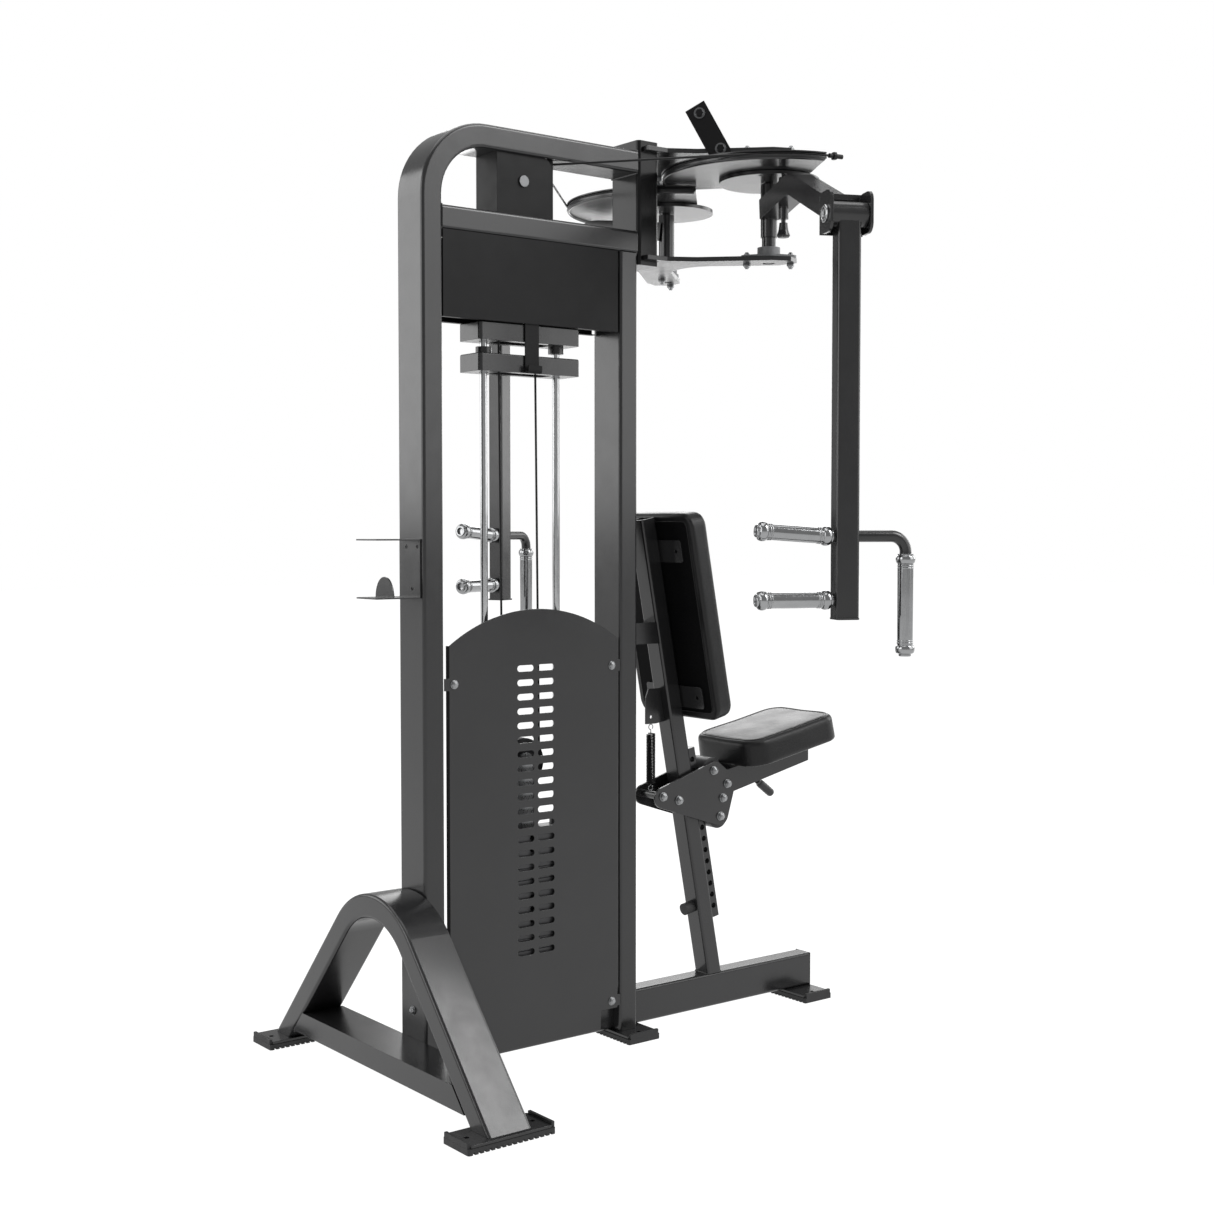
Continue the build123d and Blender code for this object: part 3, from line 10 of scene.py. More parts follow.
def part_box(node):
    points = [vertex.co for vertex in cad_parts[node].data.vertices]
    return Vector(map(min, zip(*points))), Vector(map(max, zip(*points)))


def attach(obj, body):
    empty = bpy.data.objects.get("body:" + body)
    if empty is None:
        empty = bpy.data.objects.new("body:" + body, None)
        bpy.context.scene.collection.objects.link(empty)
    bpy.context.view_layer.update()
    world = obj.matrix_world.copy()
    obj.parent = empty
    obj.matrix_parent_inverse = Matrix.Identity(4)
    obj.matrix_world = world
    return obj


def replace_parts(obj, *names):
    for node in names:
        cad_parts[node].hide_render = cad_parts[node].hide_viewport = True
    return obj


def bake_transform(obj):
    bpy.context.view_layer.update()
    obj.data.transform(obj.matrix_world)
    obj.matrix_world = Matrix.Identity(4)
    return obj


# Overhead-cam pec fly machine. Everything is in metres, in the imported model's frame.
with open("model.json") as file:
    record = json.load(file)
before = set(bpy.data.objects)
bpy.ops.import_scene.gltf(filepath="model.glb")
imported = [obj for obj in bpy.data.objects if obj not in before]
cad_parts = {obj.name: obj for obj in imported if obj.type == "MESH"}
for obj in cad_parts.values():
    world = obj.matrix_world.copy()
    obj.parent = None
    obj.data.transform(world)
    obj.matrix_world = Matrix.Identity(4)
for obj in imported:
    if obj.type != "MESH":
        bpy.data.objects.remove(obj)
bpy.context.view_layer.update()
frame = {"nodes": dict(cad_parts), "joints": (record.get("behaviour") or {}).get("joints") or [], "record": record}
JOINTS = {joint["name"]: joint for joint in frame["joints"]}


# ------------------------------------------------------------------ materials
NOISE_LOW = 0.3         # a noise texture's values hardly leave this range
NOISE_HIGH = 0.7


def shader(name, colour, **sockets):
    """New material and its Principled shader, with even values set on the shader's sockets."""
    material = bpy.data.materials.new(name)
    material.use_nodes = True
    principled = material.node_tree.nodes["Principled BSDF"]
    principled.inputs["Base Color"].default_value = (*colour, 1)
    for socket, value in sockets.items():
        principled.inputs[socket.replace("_", " ")].default_value = value
    return material, principled


def texture(material, kind, scale, **sockets):
    """Procedural texture in object space, whose unit is the metre."""
    nodes = material.node_tree.nodes
    links = material.node_tree.links
    place = nodes.new("ShaderNodeTexCoord")
    node = nodes.new(kind)
    node.inputs["Scale"].default_value = scale
    for socket, value in sockets.items():
        node.inputs[socket.replace("_", " ")].default_value = value
    links.new(place.outputs["Object"], node.inputs["Vector"])
    return node


def stretched(material, node, stretch):
    """Stretches a texture along the object's axes."""
    nodes = material.node_tree.nodes
    links = material.node_tree.links
    mapping = nodes.new("ShaderNodeMapping")
    mapping.inputs["Scale"].default_value = stretch
    links.new(node.inputs["Vector"].links[0].from_socket, mapping.inputs["Vector"])
    links.new(mapping.outputs["Vector"], node.inputs["Vector"])


def tint(material, principled, value, dark, light):
    """Colour that wanders between two shades with a texture's value."""
    ramp = material.node_tree.nodes.new("ShaderNodeValToRGB")
    ramp.color_ramp.elements[0].position = NOISE_LOW
    ramp.color_ramp.elements[0].color = (*dark, 1)
    ramp.color_ramp.elements[1].position = NOISE_HIGH
    ramp.color_ramp.elements[1].color = (*light, 1)
    material.node_tree.links.new(value, ramp.inputs["Fac"])
    material.node_tree.links.new(ramp.outputs["Color"], principled.inputs["Base Color"])


def roughen(material, principled, value, low, high):
    """Roughness that wanders between two limits with a texture's value."""
    spread = material.node_tree.nodes.new("ShaderNodeMapRange")
    spread.inputs["From Min"].default_value = NOISE_LOW
    spread.inputs["From Max"].default_value = NOISE_HIGH
    spread.inputs["To Min"].default_value = low
    spread.inputs["To Max"].default_value = high
    material.node_tree.links.new(value, spread.inputs["Value"])
    material.node_tree.links.new(spread.outputs["Result"], principled.inputs["Roughness"])


def emboss(material, principled, value, depth, strength, soft_edge=0.0):
    """Bump of a given depth in metres, over a softened edge if one is asked for."""
    nodes = material.node_tree.nodes
    links = material.node_tree.links
    bump = nodes.new("ShaderNodeBump")
    bump.inputs["Strength"].default_value = strength
    bump.inputs["Distance"].default_value = depth
    links.new(value, bump.inputs["Height"])
    before = principled.inputs["Normal"].links
    if before:
        links.new(before[0].from_socket, bump.inputs["Normal"])
    elif soft_edge:
        bevel = nodes.new("ShaderNodeBevel")
        bevel.samples = 4
        bevel.inputs["Radius"].default_value = soft_edge
        links.new(bevel.outputs["Normal"], bump.inputs["Normal"])
    links.new(bump.outputs["Normal"], principled.inputs["Normal"])


def shade(colour, factor):
    """A colour made darker or lighter."""
    return tuple(channel * factor for channel in colour)


def powder_coat(name, colour, low, high, soft_edge, gloss=0.5):
    """Semi-gloss powder coat: faint clouding and a fine orange-peel surface."""
    material, principled = shader(name, colour, Specular_IOR_Level=gloss)
    clouds = texture(material, "ShaderNodeTexNoise", 7, Detail=6.0, Roughness=0.6)
    tint(material, principled, clouds.outputs["Fac"], shade(colour, 0.88), shade(colour, 1.12))
    smudges = texture(material, "ShaderNodeTexNoise", 23, Detail=8.0, Roughness=0.65)
    roughen(material, principled, smudges.outputs["Fac"], low, high)
    peel = texture(material, "ShaderNodeTexNoise", 620, Detail=2.0)
    emboss(material, principled, peel.outputs["Fac"], 0.00005, 0.25, soft_edge)
    return material


def plated(name, colour, low, high, grain):
    """Polished or plated metal with fine hairline scratches."""
    material, principled = shader(name, colour, Metallic=1.0)
    film = texture(material, "ShaderNodeTexNoise", 35, Detail=5.0)
    tint(material, principled, film.outputs["Fac"], shade(colour, 0.9), colour)
    hairlines = texture(material, "ShaderNodeTexNoise", 420, Detail=3.0)
    stretched(material, hairlines, grain)
    roughen(material, principled, hairlines.outputs["Fac"], low, high)
    emboss(material, principled, hairlines.outputs["Fac"], 0.000015, 0.5, 0.0008)
    return material


def moulded(name, colour, low, high, depth):
    """Moulded plastic or rubber with a fine pebbled skin."""
    material, principled = shader(name, colour, Specular_IOR_Level=0.45)
    clouds = texture(material, "ShaderNodeTexNoise", 40, Detail=4.0)
    tint(material, principled, clouds.outputs["Fac"], shade(colour, 0.75), shade(colour, 1.3))
    roughen(material, principled, clouds.outputs["Fac"], low, high)
    pebbles = texture(material, "ShaderNodeTexVoronoi", 900)
    emboss(material, principled, pebbles.outputs["Distance"], depth, 0.5, 0.0008)
    return material


def vinyl(name, colour, low, high, gloss):
    """Upholstery vinyl: pebbled leather grain over soft diagonal creases."""
    material, principled = shader(name, colour, Specular_IOR_Level=gloss)
    clouds = texture(material, "ShaderNodeTexNoise", 14, Detail=6.0)
    tint(material, principled, clouds.outputs["Fac"], shade(colour, 0.8), shade(colour, 1.25))
    roughen(material, principled, clouds.outputs["Fac"], low, high)
    creases = texture(material, "ShaderNodeTexNoise", 90, Detail=5.0, Distortion=0.8)
    stretched(material, creases, (1, 1.2, 2.6))
    emboss(material, principled, creases.outputs["Fac"], 0.0011, 0.45)
    pebbles = texture(material, "ShaderNodeTexVoronoi", 620, Randomness=0.9)
    emboss(material, principled, pebbles.outputs["Distance"], 0.00028, 0.55)
    return material


def wire_rope(name):
    """Black nylon-coated rope whose strands show faintly through the coat."""
    material, principled = shader(name, (0.006, 0.006, 0.0063), Specular_IOR_Level=0.2)
    film = texture(material, "ShaderNodeTexNoise", 60, Detail=4.0)
    tint(material, principled, film.outputs["Fac"], (0.004, 0.004, 0.0043), (0.009, 0.009, 0.0095))
    roughen(material, principled, film.outputs["Fac"], 0.32, 0.5)
    strands = texture(material, "ShaderNodeTexWave", 240, Distortion=0.6)
    strands.bands_direction = "DIAGONAL"
    emboss(material, principled, strands.outputs["Fac"], 0.00018, 0.6)
    return material


def cast_iron(name, colour):
    """Bare casting with a sandy skin."""
    material, principled = shader(name, colour, Metallic=0.2)
    clouds = texture(material, "ShaderNodeTexNoise", 30, Detail=6.0)
    tint(material, principled, clouds.outputs["Fac"], shade(colour, 0.7), shade(colour, 1.3))
    roughen(material, principled, clouds.outputs["Fac"], 0.38, 0.6)
    sand = texture(material, "ShaderNodeTexNoise", 330, Detail=4.0)
    emboss(material, principled, sand.outputs["Fac"], 0.0002, 0.7, 0.001)
    return material


CHARCOAL = (0.0115, 0.0115, 0.012)
NEAR_BLACK = (0.005, 0.005, 0.0053)
MATERIALS = {
    "frame_paint": powder_coat("frame_powder_coat", CHARCOAL, 0.19, 0.27, 0.0014),
    "panel_paint": powder_coat("panel_powder_coat", (0.006, 0.006, 0.0064), 0.34, 0.44, 0.0008),
    "plate_paint": powder_coat("plate_paint", (0.03, 0.03, 0.032), 0.34, 0.5, 0.0012),
    "chrome": plated("chrome_plate", (0.46, 0.465, 0.47), 0.09, 0.2, (1, 1, 0.08)),
    "zinc": plated("zinc_plate", (0.3, 0.305, 0.31), 0.22, 0.38, (1, 1, 1)),
    "spring_steel": powder_coat("blackened_wire", NEAR_BLACK, 0.35, 0.5, 0.0004, 0.14),
    "bearing_grey": cast_iron("bearing_casting", (0.11, 0.112, 0.115)),
    "cable": wire_rope("coated_wire_rope"),
    "sheave_plastic": moulded("sheave_nylon", (0.017, 0.017, 0.018), 0.4, 0.55, 0.00006),
    "black_plastic": moulded("roller_plastic", (0.013, 0.013, 0.014), 0.34, 0.48, 0.00006),
    "knob_plastic": moulded("knob_plastic", (0.01, 0.01, 0.011), 0.24, 0.36, 0.00004),
    "foot_rubber": moulded("ribbed_rubber", (0.014, 0.014, 0.0145), 0.55, 0.75, 0.00012),
    "vinyl": vinyl("grained_vinyl", NEAR_BLACK, 0.28, 0.4, 0.26),
}
BOARD_VINYL = vinyl("board_lining", (0.002, 0.002, 0.0022), 0.6, 0.75, 0.05)
FLAT_BLACK = powder_coat("flat_black_coat", NEAR_BLACK, 0.4, 0.5, 0.0008, 0.14)
GLOSS_BLACK = powder_coat("gloss_black_coat", (0.004, 0.004, 0.0042), 0.16, 0.24, 0.0014, 0.22)
GRIP_CHROME = plated("grip_chrome", (0.3, 0.304, 0.308), 0.09, 0.2, (1, 1, 0.08))
DULL_STEEL = plated("dull_steel", (0.13, 0.132, 0.135), 0.34, 0.48, (1, 1, 1))
OWN_FINISH = {
    "pulley_axles": DULL_STEEL,
    "top_panel": FLAT_BLACK,
    "pulley_bracket": FLAT_BLACK,
    "stop_bar": FLAT_BLACK,
    "carrier_tube": GLOSS_BLACK,
}
THREAD = moulded("sewing_thread", (0.02, 0.02, 0.021), 0.6, 0.8, 0.0002)


def dress_nodes():
    """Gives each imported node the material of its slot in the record."""
    for subpart in frame["record"]["subparts"]:
        node = frame["nodes"][subpart["node"]]
        material = OWN_FINISH.get(subpart["node"], MATERIALS[subpart["material_slot"]])
        for place in node.material_slots:
            place.material = material
        if not node.material_slots:
            node.data.materials.append(material)


# ---------------------------------------------------------------------- tools
def new_piece(name, vertices, faces, slot, body, material=None):
    """Mesh piece that rides on a body and takes its finish from a slot."""
    mesh = bpy.data.meshes.new(name)
    mesh.from_pydata([tuple(vertex) for vertex in vertices], [], faces)
    mesh.validate()
    mesh.update()
    piece = bpy.data.objects.new(name, mesh)
    bpy.context.scene.collection.objects.link(piece)
    return finish_piece(piece, slot, body, material)


def finish_piece(piece, slot, body, material=None):
    """Gives a piece its material (its slot's finish unless another is given), smooth shading and body, if any."""
    piece.data.materials.clear()
    piece.data.materials.append(material or MATERIALS[slot])
    piece.data.shade_smooth()
    if body:
        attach(piece, body)
    return piece


def across_of(direction):
    """Two unit vectors square to a direction."""
    side = direction.cross(Vector((0, 0, 1)))
    if side.length < 1e-4:
        side = Vector((1, 0, 0))
    side.normalize()
    return side, direction.cross(side).normalized()


def tube_faces(rings, sides, joined_up):
    """Faces between rings of vertices, with caps unless the last ring meets the first."""
    faces = []
    for ring in range(rings if joined_up else rings - 1):
        for step in range(sides):
            a = ring * sides + step
            b = ring * sides + (step + 1) % sides
            c = ((ring + 1) % rings) * sides + (step + 1) % sides
            d = ((ring + 1) % rings) * sides + step
            faces.append((a, b, c, d))
    if not joined_up:
        faces.append(tuple(reversed(range(sides))))
        faces.append(tuple(range((rings - 1) * sides, rings * sides)))
    return faces


def sweep(points, radius, sides=12, closed=False, ripple=0.0, ripple_every=0):
    """Vertices and faces of a tube along points, its frame carried from point to point."""
    count = len(points)
    vertices = []
    side = None
    for index, point in enumerate(points):
        before = points[index - 1] if index or closed else point
        after = points[(index + 1) % count] if index < count - 1 or closed else point
        along = (after - before).normalized()
        if side is None:
            side = across_of(along)[0]
        side = (side - along * side.dot(along)).normalized()
        up = along.cross(side)
        here = radius
        if ripple_every:
            here *= 1 + ripple * sin(2 * pi * index / ripple_every)
        for step in range(sides):
            turn = 2 * pi * step / sides
            vertices.append(point + (side * cos(turn) + up * sin(turn)) * here)
    return vertices, tube_faces(count, sides, closed)


def tube_piece(name, points, radius, slot, body, **options):
    """Piece made by one sweep."""
    vertices, faces = sweep(points, radius, **options)
    return new_piece(name, vertices, faces, slot, body)


def lathe(profile, centre, axis, sides=32):
    """Vertices and faces of a turned form: profile is (distance along axis, radius) pairs."""
    axis = axis.normalized()
    side, up = across_of(axis)
    vertices = []
    for along, radius in profile:
        for step in range(sides):
            turn = 2 * pi * step / sides
            vertices.append(centre + axis * along + (side * cos(turn) + up * sin(turn)) * radius)
    return vertices, tube_faces(len(profile), sides, False)


def joined(name, parts, slot, body):
    """One piece from several lists of vertices and faces."""
    vertices = []
    faces = []
    for part_vertices, part_faces in parts:
        first = len(vertices)
        vertices += part_vertices
        faces += [tuple(index + first for index in face) for face in part_faces]
    piece = new_piece(name, vertices, faces, slot, body)
    soften(piece)
    return piece


def soften(piece):
    """Keeps the piece's sharper edges crisp under smooth shading."""
    sharp = radians(35)
    mesh = bmesh.new()
    mesh.from_mesh(piece.data)
    for edge in mesh.edges:
        edge.smooth = len(edge.link_faces) == 2 and edge.calc_face_angle(0) < sharp
    mesh.to_mesh(piece.data)
    mesh.free()


def arc(centre, radius, first, last, steps, x):
    """Points of an arc in a plane square to X; angles run from +Y towards +Z, in degrees."""
    points = []
    for step in range(steps + 1):
        turn = radians(first + (last - first) * step / steps)
        points.append(Vector((x, centre[0] + radius * cos(turn), centre[1] + radius * sin(turn))))
    return points


def bounds_middle(node):
    """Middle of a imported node's box."""
    low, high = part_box(node)
    return (low + high) / 2


def joint_place(name):
    """A point on a joint's axis."""
    return Vector(JOINTS[name]["pos_m"])


def side_names():
    """Each side's name, with the sign of its X."""
    return (("right", -1), ("left", 1))


# --------------------------------------------------------------------- cables
CABLE_R = 0.0025
GROOVE_R = 0.0505       # radii at which a cable's middle runs round each wheel
IDLER_GROOVE_R = 0.0225
LIFTER_GROOVE_R = 0.0485
CAM_GROOVE_R = 0.2408
GUIDE_Y = 0.148         # where the cables bend round the guide pins
LIFT_RUN_X = 0.014      # the two lifting runs' tops stand this far off the middle
TUCK = 0.012            # length of cable that goes on past a sheave


def cam_tangent(name, side, guide):
    """Point where the straight cable meets the cam's groove."""
    pivot = joint_place(name + "_cam_swing")
    dx = abs(pivot.x - guide.x)
    dy = guide.y - pivot.y
    bearing = atan2(dy, dx) + acos(CAM_GROOVE_R / hypot(dx, dy))
    x = pivot.x - side * CAM_GROOVE_R * cos(bearing)
    y = pivot.y + CAM_GROOVE_R * sin(bearing)
    return Vector((x, y, bounds_middle(name + "_cable_end").z))


def eased(start, corner, end, trim):
    """Points of a small curve in place of a corner."""
    steps = 6
    first = corner + (start - corner).normalized() * trim
    last = corner + (end - corner).normalized() * trim
    points = []
    for step in range(steps + 1):
        share = step / steps
        points.append(first.lerp(corner, share).lerp(corner.lerp(last, share), share))
    return points


def spread_points(start, end, count):
    """Evenly spaced points of a straight line."""
    return [start.lerp(end, step / count) for step in range(count + 1)]


def make_cables():
    """One cable from each cam over its sheave, and the two runs that lift the stack."""
    idler = bounds_middle("idler_pulley")
    lifter = bounds_middle("lifting_pulley")
    rear_sheave = bounds_middle("right_sheave")
    for name, side in side_names():
        sheave = bounds_middle(name + "_sheave")
        x = sheave.x
        top = sheave.z + GROOVE_R
        guide = Vector((x, GUIDE_Y, top))
        rim = cam_tangent(name, side, guide)
        over = Vector((x, sheave.y, top))
        route = [rim, *eased(rim, guide, over, TUCK)]
        if side < 0:
            route += arc((sheave.y, sheave.z), GROOVE_R, 90, 0, 16, x)
            route.append(Vector((x, sheave.y + GROOVE_R, sheave.z - TUCK)))
        else:
            rise = sheave.z - idler.z
            shift = sheave.y - idler.y
            slope = atan2(rise, shift) - asin((GROOVE_R + IDLER_GROOVE_R) / hypot(rise, shift))
            route += arc((sheave.y, sheave.z), GROOVE_R, 90, degrees(slope) - 90, 20, x)
            route += arc((idler.y, idler.z), IDLER_GROOVE_R, degrees(slope) + 90, 180, 6, x)
            route.append(Vector((x, idler.y - IDLER_GROOVE_R, idler.z - TUCK)))
        cable = tube_piece(name + "_cable", route, CABLE_R, "cable", "frame")
        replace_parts(cable, "cam_cables")
    rear_top = Vector((-LIFT_RUN_X, rear_sheave.y + GROOVE_R, rear_sheave.z - 0.01))
    front_top = Vector((LIFT_RUN_X, idler.y - IDLER_GROOVE_R, idler.z - 0.01))
    runs = (
        ("rear_lift_cable", rear_top, LIFTER_GROOVE_R),
        ("front_lift_cable", front_top, -LIFTER_GROOVE_R),
    )
    for name, top, offset in runs:
        low = Vector((0, lifter.y + offset, lifter.z))
        cable = tube_piece(name, spread_points(top, low, 60), CABLE_R, "cable", None)
        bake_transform(cable)
        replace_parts(cable, "lift_cables")
    loop = arc((lifter.y, lifter.z), LIFTER_GROOVE_R, 0, -180, 24, 0)
    tube_piece("lifting_pulley_cable", loop, CABLE_R, "cable", "stack")


# ------------------------------------------------------------ tension spring
SPRING_R = 0.011
SPRING_WIRE_R = 0.0016
HOOK_RING_R = 0.0062
HOOK_WIRE_R = 0.0011


def make_spring():
    """Close-wound counterbalance spring that stretches between the post and the carriage."""
    low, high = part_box("tension_spring")
    centre = (low + high) / 2
    x, y = centre.x, centre.y
    coil_low = low.z + 0.016
    coil_high = high.z - 0.022
    mean = SPRING_R - SPRING_WIRE_R
    turns = int((coil_high - coil_low) / (2 * SPRING_WIRE_R + 0.0003))
    per_turn = 18
    helix = []
    for step in range(turns * per_turn + 1):
        turn = 2 * pi * step / per_turn
        rise = coil_low + (coil_high - coil_low) * step / (turns * per_turn)
        helix.append(Vector((x + mean * cos(turn), y + mean * sin(turn), rise)))
    coil = tube_piece("spring_coil", helix, SPRING_WIRE_R, "spring_steel", None, sides=6)
    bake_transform(coil)
    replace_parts(coil, "tension_spring")
    ends = (
        ("spring_top_hook", "frame", 1, coil_high, high.z),
        ("spring_low_hook", "seat_carriage", -1, coil_low, low.z),
    )
    for name, body, way, start, tip in ends:
        ring_z = tip - way * HOOK_RING_R
        hook = [Vector((x, y, start - way * 0.001)), Vector((x, y, ring_z - way * HOOK_RING_R * 1.3))]
        for step in range(15):
            turn = radians(-90 + 315 * step / 14)
            rise = ring_z + way * HOOK_RING_R * sin(turn)
            hook.append(Vector((x, y + HOOK_RING_R * cos(turn), rise)))
        hook_piece = tube_piece(name, hook, HOOK_WIRE_R, "zinc", body, sides=8)
        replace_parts(hook_piece, "tension_spring")


# ------------------------------------------------------------------------ pads
LEAN = atan2(JOINTS["seat_slide"]["axis"][1], JOINTS["seat_slide"]["axis"][2])
UP_POST = Vector((0, sin(LEAN), cos(LEAN)))
OUT_OF_POST = Vector((0, -cos(LEAN), sin(LEAN)))
BACK_SIZE = (0.290, 0.490, 0.050)
BACK_CORNER = 0.034
SEAT_SIZE = (0.240, 0.300, 0.064)
SEAT_CORNER = 0.052
COVER_SHRINK = 0.0015       # the cover starts this far inside its finished size
BOARD_HELD = 0.008          # height of the strip that is stapled to the board
MOST_SWELL = 0.0025
CLOTH_FRAMES = 20
EVENING_PASSES = 24
WELT_R = 0.0011
FOLD_R = 0.0012


def outline(size, corner, inset=0.0):
    """Rounded rectangle, counter-clockwise, drawn in by an inset."""
    width, length = (side - 2 * inset for side in size[:2])
    corner -= inset
    steps = 10
    points = []
    for quarter, (sx, sy) in enumerate(((1, 1), (-1, 1), (-1, -1), (1, -1))):
        for step in range(steps + 1):
            turn = radians(90 * quarter + 90 * step / steps)
            x = sx * (width / 2 - corner) + corner * cos(turn)
            y = sy * (length / 2 - corner) + corner * sin(turn)
            points.append((x, y))
    return points


def loft(layers):
    """Closed form through outlines at rising heights: (points, z) pairs."""
    vertices = []
    for points, z in layers:
        vertices += [Vector((x, y, z)) for x, y in points]
    return vertices, tube_faces(len(layers), len(layers[0][0]), False)


def rounded_block(size, corner, low, high, low_edge, high_edge):
    """Block with rounded plan corners and rounded lower and upper rims."""
    steps = 5
    turns = [radians(90 * step / steps) for step in range(steps + 1)]
    layers = []
    for turn in turns:
        inset = low_edge * (1 - sin(turn))
        layers.append((outline(size, corner, inset), low + low_edge * (1 - cos(turn))))
    for turn in turns:
        inset = high_edge * (1 - cos(turn))
        layers.append((outline(size, corner, inset), high - high_edge * (1 - sin(turn))))
    return loft(layers)


def swell(piece, board):
    """Blows the cover up as cloth, held at the board, and limits how far it moves."""
    scene = bpy.context.scene
    rest = [vertex.co.copy() for vertex in piece.data.vertices]
    held = [vertex.index for vertex in piece.data.vertices if vertex.co.z < board]
    group = piece.vertex_groups.new(name="board")
    group.add(held, 1.0, "REPLACE")
    cloth = piece.modifiers.new("Cloth", "CLOTH")
    cloth.settings.vertex_group_mass = "board"
    cloth.settings.use_pressure = True
    cloth.settings.uniform_pressure_force = 3
    cloth.settings.effector_weights.gravity = 0
    cloth.point_cache.frame_start = 1
    cloth.point_cache.frame_end = CLOTH_FRAMES
    for number in range(1, CLOTH_FRAMES + 1):
        scene.frame_set(number)
    apply_modifiers(piece)
    grown = piece.data
    moves = []
    for vertex, start in zip(grown.vertices, rest):
        move = vertex.co - start
        moves.append(move.normalized() * min(move.length, MOST_SWELL))
    for _ in range(EVENING_PASSES):
        moves = evened(grown, moves)
    for index in held:
        moves[index] = Vector()
    for vertex, start, move in zip(grown.vertices, rest, moves):
        vertex.co = start + move
    scene.frame_set(1)


def evened(mesh, moves):
    """Each vertex's move averaged with its neighbours', so a firm pad shows no creases."""
    totals = [move.copy() for move in moves]
    counts = [1] * len(moves)
    for edge in mesh.edges:
        first, last = edge.vertices
        totals[first] += moves[last]
        totals[last] += moves[first]
        counts[first] += 1
        counts[last] += 1
    return [total / count for total, count in zip(totals, counts)]


def cushion(name, size, corner, rim, place, node, body):
    """Padded cover over a flat board; size is width, length and thickness."""
    width, length, thick = size
    start_size = (width - 2 * COVER_SHRINK, length - 2 * COVER_SHRINK)
    block = rounded_block(start_size, corner, -thick / 2, thick / 2 - COVER_SHRINK, 0.005, rim)
    piece = new_piece(name, *block, "vinyl", None)
    remesh = piece.modifiers.new("Remesh", "REMESH")
    remesh.mode = "VOXEL"
    remesh.voxel_size = 0.005
    apply_modifiers(piece)
    swell(piece, -thick / 2 + BOARD_HELD)
    smooth = piece.modifiers.new("Smooth", "SMOOTH")
    smooth.iterations = 2
    smooth.factor = 0.4
    finer = piece.modifiers.new("Finer", "SUBSURF")
    finer.levels = 1
    finer.render_levels = 1
    apply_modifiers(piece)
    tree = BVHTree.FromObject(piece, bpy.context.evaluated_depsgraph_get())
    piece.data.transform(place)
    finish_piece(piece, "vinyl", body)
    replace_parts(piece, node)
    return tree


def apply_modifiers(piece):
    """Bakes a piece's modifiers into its mesh."""
    made = bpy.data.meshes.new_from_object(piece.evaluated_get(bpy.context.evaluated_depsgraph_get()))
    piece.modifiers.clear()
    piece.data = made
    piece.data.shade_smooth()


def spaced(points, gap):
    """Points at even distances round a closed outline."""
    corners = [Vector((x, y)) for x, y in points]
    corners.append(corners[0])
    lengths = [(b - a).length for a, b in zip(corners, corners[1:])]
    total = sum(lengths)
    count = int(total / gap)
    result = []
    segment = 0
    passed = 0.0
    for step in range(count):
        target = total * step / count
        while passed + lengths[segment] < target:
            passed += lengths[segment]
            segment += 1
        share = (target - passed) / max(lengths[segment], 1e-9)
        result.append(corners[segment].lerp(corners[segment + 1], share))
    return result


def on_cover(tree, spot, lift):
    """Point at a height over the cover's top, at a plan position."""
    above = 0.1
    hit = tree.ray_cast(Vector((spot.x, spot.y, above)), Vector((0, 0, -1)))[0]
    return hit + Vector((0, 0, lift))


def seam(name, tree, size, corner, inset, place, body):
    """Welted seam round the top panel, with a row of stitches beside it."""
    rim = spaced(outline(size, corner, inset), 0.004)
    line = [place @ on_cover(tree, spot, 0.0003) for spot in rim]
    tube_piece(name + "_welt", line, WELT_R, "vinyl", body, closed=True, sides=8)
    stitches = []
    row = spaced(outline(size, corner, inset + 0.006), 0.0055)
    for index, spot in enumerate(row):
        ahead = row[(index + 1) % len(row)]
        stitch = [
            place @ on_cover(tree, spot.lerp(ahead, share), lift)
            for share, lift in ((0.12, 0), (0.5, 0.0004), (0.8, 0))
        ]
        stitches.append(sweep(stitch, 0.0004, sides=5))
    joined(name + "_stitches", stitches, "vinyl", body).data.materials[0] = THREAD


def placed_at(node, x_axis, y_axis):
    """Matrix that puts a form's middle on a node's middle, turned to two axes."""
    z_axis = x_axis.cross(y_axis)
    turn = Matrix((x_axis, y_axis, z_axis)).transposed().to_4x4()
    return Matrix.Translation(bounds_middle(node)) @ turn


def lining(name, size, corner, margin, place, body):
    """Recessed lining inside the folded border on the back of a pad."""
    low = -size[2] / 2
    inner = [side - 2 * margin for side in size[:2]]
    vertices, faces = rounded_block(inner, corner - margin, low - 0.0006, low + 0.004, 0.0004, 0.001)
    new_piece(name, [place @ vertex for vertex in vertices], faces, "vinyl", body, BOARD_VINYL)
    border = [
        place @ Vector((spot.x, spot.y, low - 0.0002))
        for spot in spaced(outline(size, corner, margin), 0.006)
    ]
    tube_piece(name + "_fold", border, FOLD_R, "vinyl", body, closed=True, sides=8)


def make_pads():
    """Back and seat cushions over their CAD boards."""
    x_axis = Vector((1, 0, 0))
    back = placed_at("back_pad", x_axis, UP_POST)
    tree = cushion("back_cushion", BACK_SIZE, BACK_CORNER, 0.009, back, "back_pad", "frame")
    seam("back_cushion", tree, BACK_SIZE, BACK_CORNER, 0.016, back, "frame")
    lining("back_lining", BACK_SIZE, BACK_CORNER, 0.020, back, "frame")
    seat = placed_at("seat_pad", x_axis, -OUT_OF_POST)
    tree = cushion("seat_cushion", SEAT_SIZE, SEAT_CORNER, 0.011, seat, "seat_pad", "seat_carriage")
    seam("seat_cushion", tree, SEAT_SIZE, SEAT_CORNER, 0.017, seat, "seat_carriage")


